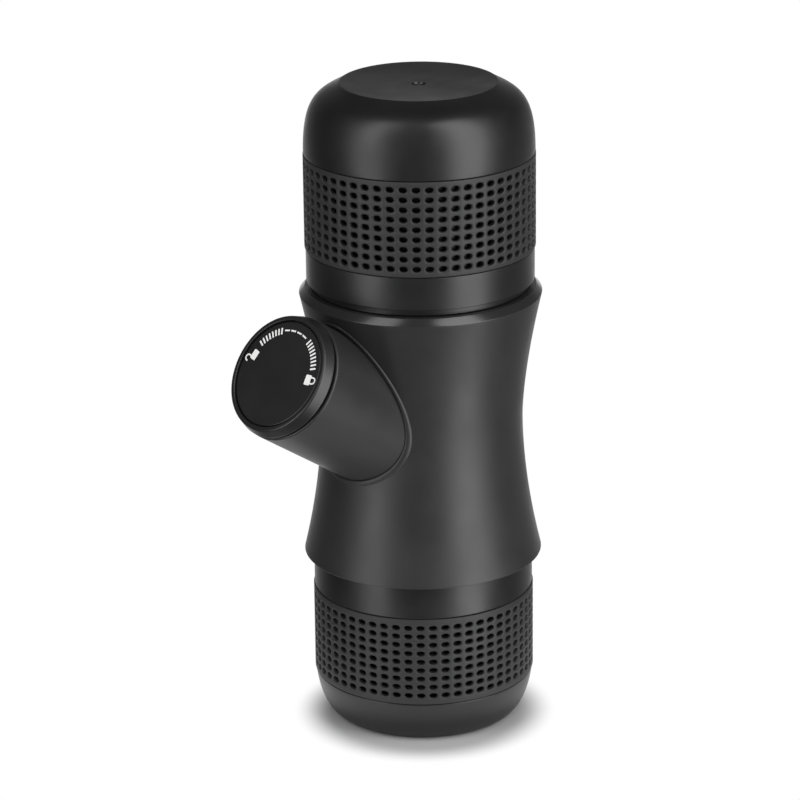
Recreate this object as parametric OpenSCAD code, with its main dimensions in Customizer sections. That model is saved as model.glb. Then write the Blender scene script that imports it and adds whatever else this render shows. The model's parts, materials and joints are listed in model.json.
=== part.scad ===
// Handheld manual espresso maker, stored upright: water tank below, pump body with its slanted
// knob in the middle, brewing head and drinking cup on top. Millimetres, +Z up, resting face at z 0.
// The pump and its knob lean out towards -X.

/* [Water tank] */
// Radius of the tank at its grip band
tank_r = 29.7; // [28.5:0.1:30.5]
// Radius of the flat face that the maker stands on
tank_base_r = 23.3; // [18:0.1:26]
// Height over which the foot of the tank rounds out to full width
tank_round_h = 16; // [13:0.5:20]
// Height of the grip band's lower edge
tank_band_z = 12; // [10:0.5:14]
// Height of the tank's grip band
tank_band_h = 24.4; // [22.5:0.1:27]
// Smooth collar above the band
tank_collar_h = 9.3; // [7:0.1:12]
// How far the collar stands back from the band
tank_collar_step = 0.25; // [0.1:0.05:0.6]
// Wall of the tank
tank_wall = 2.2; // [1.8:0.1:2.6]
// Thickness of the tank's floor
tank_floor = 2.6; // [2:0.1:4]
// Radius of the neck that screws into the body
tank_neck_r = 25.6; // [24.5:0.1:26]
// Height of that neck
tank_neck_h = 9; // [6:0.5:10]
// Wall of the neck
tank_neck_wall = 2; // [1.6:0.1:2.6]

/* [Body] */
// Height of the pump body from its lower edge to its upper face
body_h = 74.3; // [73:0.1:80]
// Radius of the lower lip
lower_lip_r = 31.9; // [31.5:0.1:33]
// Radius of the upper lip
upper_lip_r = 32.1; // [31.6:0.1:33]
// Radius of the waist
waist_r = 26.9; // [26.4:0.1:28]
// Height of the waist above the lower edge
waist_up = 38; // [34:0.5:42]
// How sharply the lower half flares, 1 being a straight cone
lower_flare = 1.85; // [1.4:0.05:2.4]
// How sharply the upper half flares
upper_flare = 1.55; // [1.3:0.05:2.2]
// Width of the bevel on the upper lip
lip_bevel_w = 1.6; // [0.8:0.1:2.2]
// Height of that bevel
lip_bevel_h = 1.8; // [0.8:0.1:2.2]
// Wall of the body shell
body_wall = 2.4; // [1.8:0.1:2.6]
// Width and height of the bead round the sleeve
bead_w = 1.2; // [0.6:0.1:2]
bead_h = 0.5; // [0.2:0.1:0.8]
// Thickness of the ceiling over the tank's neck
socket_roof = 2.5; // [2:0.1:3.5]

/* [Pump] */
// Rise of the pump's axis above level, in degrees
pump_tilt = 33.1; // [32:0.1:34]
// Height at which the pump's axis crosses the body's axis, above the body's lower edge
pump_up = 28.4; // [27.8:0.1:29]
// Outer radius of the sleeve that the knob slides in
sleeve_r = 16.64; // [16.2:0.02:17]
// Wall of the sleeve
sleeve_wall = 2.14; // [1.9:0.02:2.4]
// Distance from the body's axis to the mouth of the sleeve
sleeve_reach = 56.4; // [54:0.1:60]
// Distance from the body's axis to the inner face of the sleeve's floor
sleeve_floor_at = 16; // [14.5:0.1:18]
// Thickness of that floor
sleeve_floor = 2.5; // [1.8:0.1:3]
// Bore of the pump cylinder
pump_bore_r = 6; // [5:0.1:6.4]
// Outer radius of the pump cylinder
pump_cylinder_r = 8.5; // [8.2:0.1:9]
// Travel of the piston
pump_stroke = 28; // [20:0.5:28.5]
// Radius of the piston rod
rod_r = 3; // [2.4:0.1:3.4]
// Length of the piston head
piston_h = 8; // [6:0.5:9]
// Length of the bush that guides the rod
guide_h = 5; // [3:0.5:7]
// Wire and coils of the return spring
spring_wire_r = 0.7; // [0.5:0.05:0.8]
spring_turns = 9; // [6:1:11]

/* [Knob] */
// Radius of the knob at its back
knob_r = 16.6; // [15.8:0.1:17]
// Radius of the knob at its front rim
knob_front_r = 15.6; // [15.3:0.1:16]
// Height of the knob
knob_h = 3.7; // [3.4:0.1:6]
// Bevel round the front rim
knob_bevel = 0.5; // [0.2:0.1:0.7]
// Radius of the inlaid disc
disc_r = 14.1; // [13:0.1:14.2]
// Thickness of the disc
disc_h = 1.3; // [1:0.1:1.5]
// Wall of the plunger behind the knob
plunger_wall = 1.4; // [1.1:0.1:1.6]
// Thickness of the plunger's front web
web_h = 2.3; // [1.8:0.1:3]
// Turn between locked and unlocked, in degrees
knob_turn = 60; // [40:5:75]
// Width of each guide lug, in degrees
lug_angle = 24; // [16:2:30]
// Length of each guide lug
lug_h = 3; // [2:0.5:4]

/* [Brewing] */
// Radius of the threaded neck that carries the outlet head
neck_r = 23.6; // [23.2:0.1:24]
// Height of the neck above the body
neck_h = 11.7; // [10:0.1:13]
// Radius of the brewing chamber
chamber_r = 21.6; // [21.2:0.1:22]
// Depth of the chamber below the neck's top
chamber_depth = 21; // [19:0.1:21.2]
// Thickness of the chamber's floor
chamber_floor = 2.5; // [2:0.1:2.7]
// Sheet thickness of the filter basket
basket_wall = 0.6; // [0.4:0.1:1]
// Depth of the filter basket
basket_depth = 18; // [14:0.5:18.5]
// Radius of the holes in the basket and the screen
sieve_hole_r = 0.8; // [0.5:0.1:1]
// Wall of the scoop
scoop_wall = 1.2; // [0.8:0.1:2]

/* [Outlet head] */
// Wall of the head's skirt
head_wall = 2.2; // [2:0.1:2.6]
// Radius of the flange that the cup stands on
flange_r = 28.9; // [28.4:0.1:29.3]
// Height of that flange
flange_h = 1.6; // [1.2:0.1:2.5]
// Thickness of the head's ceiling
head_roof = 3; // [2.4:0.1:4]
// Height of the shoulder above the ceiling
head_shoulder_h = 6; // [4:0.5:8]
// Outer radius of the spout
spout_r = 6; // [5.2:0.1:8]
// Height of the spout above the shoulder
spout_h = 10; // [6:0.5:12]
// Bore of the spout
spout_bore_r = 3.2; // [3:0.1:4]

/* [Cup] */
// Radius of the cup at its grip band
cup_r = 30.45; // [30.2:0.05:31]
// How far the smooth parts of the cup stand back from the band
cup_step = 0.3; // [0.1:0.05:0.6]
// Height of the smooth collar at the cup's mouth
cup_collar_h = 8.9; // [7:0.1:11]
// Height of the cup's grip band
cup_band_h = 25.3; // [24.5:0.1:28]
// Height of the rounded shoulder above the band
cup_shoulder_h = 18.6; // [17:0.1:21]
// Radius of the dished top
dish_r = 20.6; // [18:0.1:22]
// Depth of the dish
dish_depth = 1.8; // [0.8:0.1:2.4]
// Wall of the cup
cup_wall = 2; // [1.7:0.1:2.3]
// Length and width of the moulding mark in the dish
gate_l = 3.4; // [2:0.1:5]
gate_w = 1; // [0.6:0.1:1.6]

/* [Grip bands] */
// Thickness of the grip bands
band_t = 1.2; // [0.8:0.1:1.3]
// Columns of holes round each band
band_columns = 56; // [40:1:60]
// Rows of holes in each band
band_rows = 9; // [6:1:9]
// Radius of each hole
band_hole_r = 0.95; // [0.7:0.05:1.05]
// Distance between the rows on the cup and on the tank
cup_row_pitch = 2.62; // [2.3:0.01:2.7]
tank_row_pitch = 2.42; // [2.3:0.01:2.5]

/* [Clearances] */
// Gap between a moving piece and what it passes
running_gap = 0.3; // [0.2:0.05:0.4]
// Radial gap of a sliding seal or guide
sliding_gap = 0.06; // [0.03:0.01:0.09]
// Gap round a piece that is pushed home and stays
seat_gap = 0.05; // [0.02:0.01:0.1]
// Dark line left along each edge of a grip band
seam_gap = 0.35; // [0.2:0.05:0.5]

/* [Hidden] */
$fn = 64;

// Colours of the real finishes
black_plastic = [0.16, 0.16, 0.17];
band_plastic = [0.24, 0.24, 0.25];
disc_plastic = [0.12, 0.12, 0.13];
inner_plastic = [0.32, 0.33, 0.34];
seal_rubber = [0.5, 0.16, 0.12];
steel = [0.72, 0.73, 0.75];

eps = 0.01;

// Heights, from the resting face up
tank_band_top = tank_band_z + tank_band_h;
tank_shoulder_z = tank_band_top + tank_collar_h;
seal_proud = 0.3;
body_z = tank_shoulder_z + seal_proud;
body_top = body_z + body_h;
waist_z = body_z + waist_up;
lip_z = body_top - lip_bevel_h;
neck_top = body_top + neck_h;
chamber_z = neck_top - chamber_depth;
pump_z = body_z + pump_up;
socket_z = body_z + tank_neck_h + seal_proud + 0.6;
plate_z = socket_z + socket_roof;
plate_h = 3;
rib_w = 2;
block_top = chamber_z - chamber_floor;

// Stack on top of the neck: gasket, basket rim, head seal, outlet head
gasket_h = 0.8;
rim_h = 0.8;
head_seal_h = 1.2;
sieve_t = 0.8;
screen_r = chamber_r - 1.2;
basket_rim_z = neck_top + gasket_h;
head_seal_z = basket_rim_z + rim_h;
head_roof_z = head_seal_z + head_seal_h;
head_skirt_r = neck_r + running_gap;
head_r = head_skirt_r + head_wall;
flange_z = body_top + running_gap;
cup_z = flange_z + flange_h;
cup_band_z = cup_z + cup_collar_h;
cup_band_top = cup_band_z + cup_band_h;
cup_top = cup_band_top + cup_shoulder_h;
head_shoulder_z = head_roof_z + head_roof;
spout_z = head_shoulder_z + head_shoulder_h;

// Seal between tank and body
seal_w = 1.8;
seal_h = 1.3;
seal_r = tank_neck_r + 1.2 + seal_w / 2;

// Radii and distances along the pump's axis
sleeve_bore_r = sleeve_r - sleeve_wall;
plunger_r = sleeve_bore_r - running_gap;
plunger_in_r = plunger_r - plunger_wall;
knob_back = sleeve_reach + running_gap;
knob_front = knob_back + knob_h;
web_back = knob_back - web_h;
plunger_in = sleeve_floor_at + 2;
lug_r = sleeve_bore_r + 0.8;
lug_groove_r = lug_r + running_gap;
lug_play = 1.5;
lug_sides = [90, 270];
lug_at = plunger_in + 0.5;
ring_at = lug_at + lug_h + pump_stroke + running_gap;
cylinder_reach = 30;
cylinder_mouth = sleeve_floor_at + cylinder_reach;
chamber_end = -8.5;
cylinder_end_wall = 6;
piston_back = chamber_end + 0.5;
piston_front = piston_back + piston_h;
piston_seal_h = 1.2;
piston_seal_w = 1.3;
piston_seals_at = [0.25 * piston_h, 0.75 * piston_h];
piston_web = 2;
guide_at = cylinder_mouth - guide_h;
journal_r = rod_r - 1;
spring_r = (pump_cylinder_r + plunger_in_r) / 2;
disc_floor = knob_front - disc_h;
disc_recess_r = disc_r + 0.35;

// Valves stand one above the other in a tower beside the pump's inner end
valve_x = 12.5;
tower_r = 8;
valve_bore_r = 5;
port_r = 2;
riser_seal_r = tower_r - 0.5;
riser_seal_w = 1.7;
riser_seal_h = 0.8;
valve_seat_h = 2.5;
poppet_h = 1.6;
valve_spring_h = 6.4;
inlet_roof_z = plate_z + valve_seat_h + poppet_h + valve_spring_h;
outlet_rise = 26;
outlet_z = plate_z + outlet_rise;
valve_wire_r = 0.35;
valve_spring_r = 2.9;
valve_turns = 4;
outlet_cage_z = outlet_z + valve_seat_h + poppet_h + valve_spring_h;

// Screws
screw_r = 1.2;
screw_head_r = 2.3;
screw_head_h = 1.6;
socket_head_h = 1;
small_screw_r = 0.8;
small_head_r = 1.7;
small_head_h = 1;
chamber_screw_l = 7.5;
pillar_r = 3.2;
pillar_at = 17;
pillar_turns = [72, -72];
socket_screw_at = 19;
socket_screw_turns = [60, 180, 300];
knob_screw_at = 9;

// Radius of the body's hourglass outline at height z
function body_r(z) = z < waist_z
    ? waist_r + (lower_lip_r - waist_r) * pow((waist_z - z) / (waist_z - body_z), lower_flare)
    : waist_r + (upper_lip_r - waist_r) * pow((z - waist_z) / (lip_z - waist_z), upper_flare);

// Points up that outline between two heights, moved out by a distance
function body_curve(z0, z1, out, steps) = [
    for (i = [0:steps]) let (z = z0 + (z1 - z0) * i / steps) [body_r(min(z, lip_z)) + out, z]
];

// Radius of the tank's foot at height z, a quarter of an ellipse
function foot_r(z) = z >= tank_round_h ? tank_r
    : tank_base_r + (tank_r - tank_base_r) * sqrt(1 - pow(1 - z / tank_round_h, 2));

// Points up the foot between two heights, closer together where it turns fastest
function foot_curve(z0, z1, out, steps) = [
    for (i = [0:steps]) let (z = z0 + (z1 - z0) * pow(i / steps, 2)) [foot_r(z) + out, z]
];

// Point at t on the cubic curve with the corners p
function bend(p, t) = pow(1 - t, 3) * p[0] + 3 * t * pow(1 - t, 2) * p[1]
    + 3 * t * t * (1 - t) * p[2] + pow(t, 3) * p[3];

// The cup's shoulder from its full width up to the rim of the dish, and the same inside the wall
function shoulder(r_full, r_rim, z_low, z_high, steps) = [
    for (i = [0:steps]) bend([
        [r_full, z_low],
        [r_full, z_low + 0.868 * (z_high - z_low)],
        [r_rim + 0.5 * (r_full - r_rim), z_high - 0.18 * (z_high - z_low)],
        [r_rim, z_high]
    ], i / steps)
];

// Arc of the dished top from its rim to the middle
function dish(r, z, depth, steps) = let (big_r = (r * r + depth * depth) / (2 * depth)) [
    for (i = [0:steps]) let (x = r * (1 - i / steps)) [x, z - depth + big_r - sqrt(big_r * big_r - x * x)]
];

function reversed(list) = [for (i = [len(list) - 1:-1:0]) list[i]];

// Tube of wire wound into a coil of one unbroken strand, six-sided, eight rings to a turn
ring_count = 8;
side_count = 6;
function coil_points(r, wire, h, turns) = [
    for (i = [0:turns * ring_count]) for (j = [0:side_count - 1])
        let (a = 360 * i / ring_count, b = 360 * j / side_count, c = r + wire * cos(b))
        [c * cos(a), c * sin(a), wire + (h - 2 * wire) * i / (turns * ring_count) + wire * sin(b)]
];

// Least distance from each ring of a coil to the ring one turn further on
function coil_gap(points, turns) = min([
    for (i = [0:(turns - 1) * ring_count]) for (j = [0:side_count - 1]) for (k = [0:side_count - 1])
        norm(points[i * side_count + j] - points[(i + ring_count) * side_count + k])
]);

module coil(r, wire, h, turns, label) {
    points = coil_points(r, wire, h, turns);
    rings = turns * ring_count;
    echo(str(label, ": least gap between its turns is ", coil_gap(points, turns), " mm"));
    sides = [
        for (i = [0:rings - 1]) for (j = [0:side_count - 1])
            let (k = (j + 1) % side_count, a = i * side_count, b = a + side_count)
            each [[a + j, a + k, b + k], [a + j, b + k, b + j]]
    ];
    start = [for (j = [1:side_count - 2]) [0, j + 1, j]];
    last = rings * side_count;
    end = [for (j = [1:side_count - 2]) [last, last + j, last + j + 1]];
    polyhedron(points = points, faces = concat(sides, start, end));
}

module tube(r_out, r_in, h) {
    difference() {
        cylinder(r = r_out, h = h);
        translate([0, 0, -1])
            cylinder(r = r_in, h = h + 2);
    }
}

// Puts its children in the pump's frame: z runs out along the pump's axis from the body's axis
module on_pump_axis(at = 0) {
    translate([0, 0, pump_z])
        rotate([0, pump_tilt - 90, 0])
            translate([0, 0, at])
                children();
}

module at_valves(z) {
    translate([valve_x, 0, z])
        children();
}

module round_at(distance, turns) {
    for (turn = turns)
        rotate([0, 0, turn])
            translate([distance, 0, 0])
                children();
}

// Pan-head screw pointing down from the underside of its head at z 0
module screw(r, length, head_r, head_h) {
    difference() {
        union() {
            cylinder(r = head_r, h = head_h);
            translate([0, 0, -length])
                cylinder(r = r, h = length);
        }
        translate([0, 0, head_h / 2])
            cylinder(r = head_r * 0.45, h = head_h, $fn = 6);
    }
}

// Outline with one flat for each column of a band's holes, its corners at radius r
function band_outline(r) = [
    for (i = [0:band_columns - 1]) let (a = 360 * (i + 0.5) / band_columns) [r * cos(a), r * sin(a)]
];

module band_ring(r, h) {
    linear_extrude(height = h)
        difference() {
            polygon(band_outline(r));
            polygon(band_outline(r - band_t));
        }
}

// Rows and columns of round holes through a band
module band_holes(r, mid_z, pitch) {
    for (i = [0:band_columns - 1])
        for (j = [0:band_rows - 1])
            rotate([0, 0, 360 * i / band_columns])
                translate([r - 2 * band_t, 0, mid_z + (j - (band_rows - 1) / 2) * pitch])
                    rotate([0, 90, 0])
                        cylinder(r = band_hole_r, h = 3 * band_t, $fn = 16);
}

// Rings of small holes through a round sheet
module sieve_holes(r, pitch, h) {
    rings = floor(r / pitch);
    cylinder(r = sieve_hole_r, h = h, $fn = 16);
    for (i = [1:rings])
        for (j = [0:6 * i - 1])
            rotate([0, 0, 60 * j / i])
                translate([i * pitch, 0, 0])
                    cylinder(r = sieve_hole_r, h = h, $fn = 16);
}

// ---- Water tank ----

module water_tank() {
    band_seat = tank_r - band_t - seat_gap;
    lower = foot_curve(0, tank_band_z - seam_gap, 0, 9);
    inner_lower = foot_curve(tank_floor, tank_round_h, -tank_wall - band_t, 7);
    color(black_plastic)
        difference() {
            rotate_extrude()
                polygon(concat(
                    [[0, 0]],
                    lower,
                    [
                        [foot_r(tank_band_z) - band_t - seat_gap, tank_band_z - seam_gap],
                        [band_seat, tank_round_h],
                        [band_seat, tank_band_top + seam_gap],
                        [tank_r - tank_collar_step, tank_band_top + seam_gap],
                        [tank_r - tank_collar_step, tank_shoulder_z],
                        [tank_neck_r, tank_shoulder_z],
                        [tank_neck_r, tank_shoulder_z + tank_neck_h],
                        [tank_neck_r - tank_neck_wall, tank_shoulder_z + tank_neck_h],
                        [tank_neck_r - tank_neck_wall, tank_shoulder_z - tank_wall],
                        [tank_r - band_t - tank_wall, tank_shoulder_z - 2 * tank_wall - 1]
                    ],
                    reversed(inner_lower),
                    [[0, tank_floor]]
                ));
            translate([0, 0, body_z - seal_h])
                tube(seal_r + seal_w / 2 + running_gap, seal_r - seal_w / 2 - running_gap, seal_h);
        }
}

module tank_grip_band() {
    color(band_plastic)
        difference() {
            translate([0, 0, tank_band_z])
                band_ring(tank_r, tank_band_h);
            band_holes(tank_r, tank_band_z + tank_band_h / 2, tank_row_pitch);
        }
}

module tank_seal() {
    color(seal_rubber)
        translate([0, 0, body_z - seal_h])
            tube(seal_r + seal_w / 2, seal_r - seal_w / 2, seal_h);
}

// ---- Body ----

module body_solid(out) {
    rotate_extrude()
        polygon(concat([[0, body_z]], body_curve(body_z, lip_z, out, 24), [[0, lip_z]]));
}

module body_shell() {
    flange_low = body_top - body_wall;
    color(black_plastic)
        difference() {
            union() {
                rotate_extrude()
                    polygon(concat(
                        body_curve(body_z, lip_z, 0, 24),
                        [[upper_lip_r - lip_bevel_w, body_top], [neck_r + seat_gap, body_top]],
                        [[neck_r + seat_gap, flange_low]],
                        reversed(body_curve(body_z, flange_low, -body_wall, 24))
                    ));
                intersection() {
                    difference() {
                        body_solid(bead_h);
                        body_solid(-body_wall / 2);
                    }
                    on_pump_axis(sleeve_floor_at)
                        cylinder(r = sleeve_r + bead_w, h = sleeve_reach);
                }
            }
            on_pump_axis(sleeve_floor_at)
                cylinder(r = sleeve_r + seat_gap, h = sleeve_reach);
        }
}

module tank_socket() {
    inside = -body_wall - seat_gap;
    bore_r = tank_neck_r + running_gap;
    color(inner_plastic)
        difference() {
            rotate_extrude()
                polygon(concat(
                    [[bore_r, body_z]],
                    body_curve(body_z, plate_z, inside, 8),
                    [[0, plate_z], [0, socket_z], [bore_r, socket_z]]
                ));
            at_valves(socket_z - 1)
                cylinder(r = port_r + 1, h = socket_roof + 2);
            at_valves(socket_z - eps)
                cylinder(r = tower_r + seat_gap, h = sieve_t + eps);
            round_at(socket_screw_at, socket_screw_turns)
                translate([0, 0, socket_z - 1]) {
                    cylinder(r = screw_r + seat_gap, h = socket_roof + 2);
                    cylinder(r = screw_head_r + seat_gap, h = 1 + socket_head_h);
                }
        }
}

module inlet_strainer() {
    color(steel)
        at_valves(socket_z)
            difference() {
                cylinder(r = tower_r, h = sieve_t);
                translate([0, 0, -1])
                    sieve_holes(port_r + 1, 1.3 * 2 * sieve_hole_r, 3);
            }
}

module socket_screws() {
    color(steel)
        round_at(socket_screw_at, socket_screw_turns)
            translate([0, 0, socket_z + socket_head_h])
                mirror([0, 0, 1])
                    screw(screw_r, socket_roof + plate_h - 2, screw_head_r, socket_head_h);
}

module pump_block() {
    beyond = 100;
    color(inner_plastic)
        difference() {
            union() {
                translate([0, 0, plate_z])
                    cylinder(r = body_r(plate_z + plate_h) - body_wall - 1, h = plate_h);
                at_valves(plate_z)
                    cylinder(r = tower_r, h = block_top - plate_z);
                round_at(pillar_at, pillar_turns)
                    translate([0, 0, plate_z])
                        cylinder(r = pillar_r, h = block_top - plate_z);
                intersection() {
                    on_pump_axis(chamber_end - cylinder_end_wall)
                        cylinder(r = pump_cylinder_r, h = cylinder_mouth - chamber_end + cylinder_end_wall);
                    translate([-beyond, -beyond / 2, plate_z])
                        cube([2 * beyond, beyond, beyond]);
                }
                translate([-rib_w, -rib_w / 2, plate_z])
                    cube([valve_x, rib_w, pump_z - plate_z]);
            }
            on_pump_axis(chamber_end)
                cylinder(r = pump_bore_r, h = cylinder_mouth - chamber_end + 1);
            on_pump_axis(chamber_end - cylinder_end_wall - 1)
                cylinder(r = port_r, h = cylinder_end_wall + 2);
            at_valves(plate_z - 1)
                cylinder(r = valve_bore_r + seat_gap, h = inlet_roof_z - plate_z + 1);
            at_valves(plate_z)
                cylinder(r = port_r, h = block_top - plate_z);
            at_valves(outlet_z)
                cylinder(r = valve_bore_r + seat_gap, h = block_top - outlet_z + 1);
            at_valves(block_top - riser_seal_h)
                tube(riser_seal_r, riser_seal_r - riser_seal_w, 2);
            round_at(pillar_at, pillar_turns)
                translate([0, 0, block_top - chamber_screw_l])
                    cylinder(r = screw_r + seat_gap, h = chamber_screw_l + 1);
            round_at(socket_screw_at, socket_screw_turns)
                translate([0, 0, plate_z - 1])
                    cylinder(r = screw_r + seat_gap, h = plate_h + 2);
        }
}

module brew_chamber() {
    flange_low = body_top - body_wall;
    chamfer = 3.6;
    color(inner_plastic)
        difference() {
            rotate_extrude()
                polygon(concat(
                    [[0, block_top], [neck_r - chamfer, block_top], [neck_r, block_top + chamfer * 0.8]],
                    [[neck_r, flange_low - 2.6]],
                    body_curve(flange_low - 2.6, flange_low, -body_wall - seat_gap, 2),
                    [
                        [neck_r, flange_low],
                        [neck_r, neck_top],
                        [chamber_r, neck_top],
                        [chamber_r, chamber_z],
                        [0, chamber_z]
                    ]
                ));
            at_valves(block_top - 1)
                cylinder(r = port_r, h = chamber_floor + 2);
            round_at(pillar_at, pillar_turns)
                translate([0, 0, block_top - 1]) {
                    cylinder(r = screw_r + seat_gap, h = chamber_floor + 2);
                    translate([0, 0, chamber_floor + 1 - screw_head_h])
                        cylinder(r = screw_head_r + seat_gap, h = 3);
                }
        }
}

module chamber_screws() {
    color(steel)
        round_at(pillar_at, pillar_turns)
            translate([0, 0, chamber_z - screw_head_h])
                screw(screw_r, chamber_screw_l, screw_head_r, screw_head_h);
}

module riser_seal() {
    color(seal_rubber)
        at_valves(block_top - riser_seal_h)
            tube(riser_seal_r - seat_gap, riser_seal_r - riser_seal_w + seat_gap, riser_seal_h);
}

// ---- Valves ----

module valve_seat(z) {
    color(seal_rubber)
        at_valves(z)
            tube(valve_bore_r, port_r, valve_seat_h);
}

// Domed disc with a stem that centres its spring
module poppet(z) {
    color(inner_plastic)
        at_valves(z) {
            cylinder(r = valve_bore_r - 1.4, h = poppet_h);
            translate([0, 0, poppet_h - eps])
                cylinder(r = valve_spring_r - valve_wire_r - running_gap, h = 1.6);
            translate([0, 0, -1])
                cylinder(r1 = 0.9, r2 = port_r - running_gap, h = 1 + eps);
        }
}

module valve_spring(z, label) {
    color(steel)
        at_valves(z)
            coil(valve_spring_r, valve_wire_r, valve_spring_h, valve_turns, label);
}

module inlet_seat() {
    valve_seat(plate_z);
}

module inlet_poppet() {
    poppet(plate_z + valve_seat_h);
}

module inlet_spring() {
    valve_spring(plate_z + valve_seat_h + poppet_h, "inlet spring");
}

module outlet_seat() {
    valve_seat(outlet_z);
}

module outlet_poppet() {
    poppet(outlet_z + valve_seat_h);
}

module outlet_spring() {
    valve_spring(outlet_z + valve_seat_h + poppet_h, "outlet spring");
}

module outlet_cage() {
    color(inner_plastic)
        at_valves(outlet_cage_z)
            tube(valve_bore_r, port_r, block_top - outlet_cage_z);
}

// ---- Pump ----

module piston_sleeve() {
    groove_turn = knob_turn + lug_angle + 2 * lug_play;
    color(black_plastic)
        on_pump_axis()
            difference() {
                translate([0, 0, sleeve_floor_at - sleeve_floor])
                    cylinder(r = sleeve_r, h = sleeve_reach - sleeve_floor_at + sleeve_floor);
                translate([0, 0, sleeve_floor_at])
                    cylinder(r = sleeve_bore_r, h = sleeve_reach);
                cylinder(r = pump_cylinder_r + seat_gap, h = sleeve_reach);
                for (side = lug_sides)
                    rotate([0, 0, side - lug_angle / 2 - lug_play])
                        translate([0, 0, sleeve_floor_at])
                            rotate_extrude(angle = groove_turn)
                                square([lug_groove_r, sleeve_reach]);
                translate([0, 0, ring_at])
                    cylinder(r = lug_groove_r, h = sleeve_reach);
            }
}

module sleeve_ring() {
    color(inner_plastic)
        on_pump_axis(ring_at)
            tube(lug_groove_r - seat_gap, sleeve_bore_r, sleeve_reach - 0.4 - ring_at);
}

module rod_guide() {
    color(inner_plastic)
        on_pump_axis(guide_at)
            difference() {
                tube(pump_bore_r - seat_gap, rod_r + sliding_gap, guide_h);
                for (turn = [0:90:270])
                    rotate([0, 0, turn])
                        translate([(pump_bore_r + rod_r) / 2 + 0.1, 0, -1])
                            cylinder(r = 0.6, h = guide_h + 2, $fn = 16);
            }
}

module piston_spring() {
    color(steel)
        on_pump_axis(sleeve_floor_at)
            coil(spring_r, spring_wire_r, web_back - sleeve_floor_at, spring_turns, "piston spring");
}

module piston_rod() {
    color(steel)
        on_pump_axis() {
            difference() {
                union() {
                    translate([0, 0, piston_back + piston_web])
                        cylinder(r = journal_r, h = piston_h);
                    translate([0, 0, piston_front])
                        cylinder(r = rod_r, h = web_back - running_gap - piston_front);
                    translate([0, 0, web_back - running_gap - 1])
                        cylinder(r = journal_r, h = knob_back - web_back + 2.6);
                }
                translate([0, 0, knob_back + 0.1])
                    tube(rod_r + 1, journal_r - 0.5, 0.8);
            }
        }
}

module piston_head() {
    color(inner_plastic)
        on_pump_axis(piston_back)
            difference() {
                cylinder(r = pump_bore_r - running_gap / 2, h = piston_h - 0.01);
                translate([0, 0, piston_web - seat_gap])
                    cylinder(r = journal_r + seat_gap, h = piston_h);
                for (at = piston_seals_at)
                    translate([0, 0, at - piston_seal_h / 2 - seat_gap])
                        tube(pump_bore_r + 1, pump_bore_r - piston_seal_w, piston_seal_h + 2 * seat_gap);
            }
}

module piston_seals() {
    color(seal_rubber)
        on_pump_axis(piston_back)
            for (at = piston_seals_at)
                translate([0, 0, at - piston_seal_h / 2])
                    tube(pump_bore_r - sliding_gap, pump_bore_r - piston_seal_w + seat_gap, piston_seal_h);
}

module rod_clip() {
    color(steel)
        on_pump_axis(knob_back + 0.15)
            difference() {
                cylinder(r = rod_r + 0.6, h = 0.7);
                translate([0, 0, -1])
                    cylinder(r = journal_r - 0.5 + seat_gap, h = 3);
                translate([-0.9, 0, -1])
                    cube([1.8, rod_r + 2, 3]);
            }
}

// ---- Knob ----

module plunger() {
    color(black_plastic)
        on_pump_axis()
            difference() {
                union() {
                    translate([0, 0, plunger_in])
                        cylinder(r = plunger_r, h = knob_back - plunger_in);
                    for (side = lug_sides)
                        rotate([0, 0, side - lug_angle / 2])
                            translate([0, 0, lug_at])
                                rotate_extrude(angle = lug_angle)
                                    translate([plunger_r - plunger_wall / 2, 0])
                                        square([lug_r - plunger_r + plunger_wall / 2, lug_h]);
                }
                translate([0, 0, plunger_in - 1])
                    cylinder(r = plunger_in_r, h = web_back - plunger_in + 1);
                cylinder(r = journal_r + sliding_gap, h = sleeve_reach + 5);
                round_at(knob_screw_at, [0, 120, 240])
                    translate([0, 0, web_back - 1])
                        cylinder(r = small_screw_r + seat_gap, h = web_h + 2);
            }
}

module knob_cap() {
    color(black_plastic)
        on_pump_axis()
            difference() {
                rotate_extrude()
                    polygon([
                        [0, knob_back],
                        [knob_r, knob_back],
                        [knob_front_r, knob_front - knob_bevel],
                        [knob_front_r - knob_bevel, knob_front],
                        [disc_recess_r, knob_front],
                        [disc_recess_r, disc_floor],
                        [0, disc_floor]
                    ]);
                translate([0, 0, knob_back - 1])
                    cylinder(r = rod_r + 1, h = 2.3);
                round_at(knob_screw_at, [0, 120, 240]) {
                    translate([0, 0, knob_back - 1])
                        cylinder(r = small_screw_r + seat_gap, h = knob_h + 2);
                    translate([0, 0, disc_floor - small_head_h])
                        cylinder(r = small_head_r + seat_gap, h = 3);
                }
            }
}

module knob_disc() {
    color(disc_plastic)
        on_pump_axis(disc_floor)
            cylinder(r = disc_r, h = disc_h - 0.2);
}

module knob_screws() {
    color(steel)
        on_pump_axis(disc_floor - small_head_h)
            round_at(knob_screw_at, [0, 120, 240])
                screw(small_screw_r, 3, small_head_r, small_head_h);
}

// ---- Brewing ----

module filter_basket() {
    r = chamber_r - running_gap;
    low = basket_rim_z + rim_h - basket_depth;
    color(steel)
        difference() {
            rotate_extrude()
                polygon([
                    [0, low],
                    [r - 1, low],
                    [r, low + 1],
                    [r, basket_rim_z],
                    [neck_r - 0.2, basket_rim_z],
                    [neck_r - 0.2, basket_rim_z + rim_h],
                    [r - basket_wall, basket_rim_z + rim_h],
                    [r - basket_wall, low + 1.2],
                    [r - basket_wall - 0.6, low + basket_wall],
                    [0, low + basket_wall]
                ]);
            translate([0, 0, low - 1])
                sieve_holes(r - 4, 3.4, 3);
        }
}

module basket_gasket() {
    color(seal_rubber)
        translate([0, 0, neck_top])
            tube(neck_r - 0.2, chamber_r, gasket_h);
}

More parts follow.
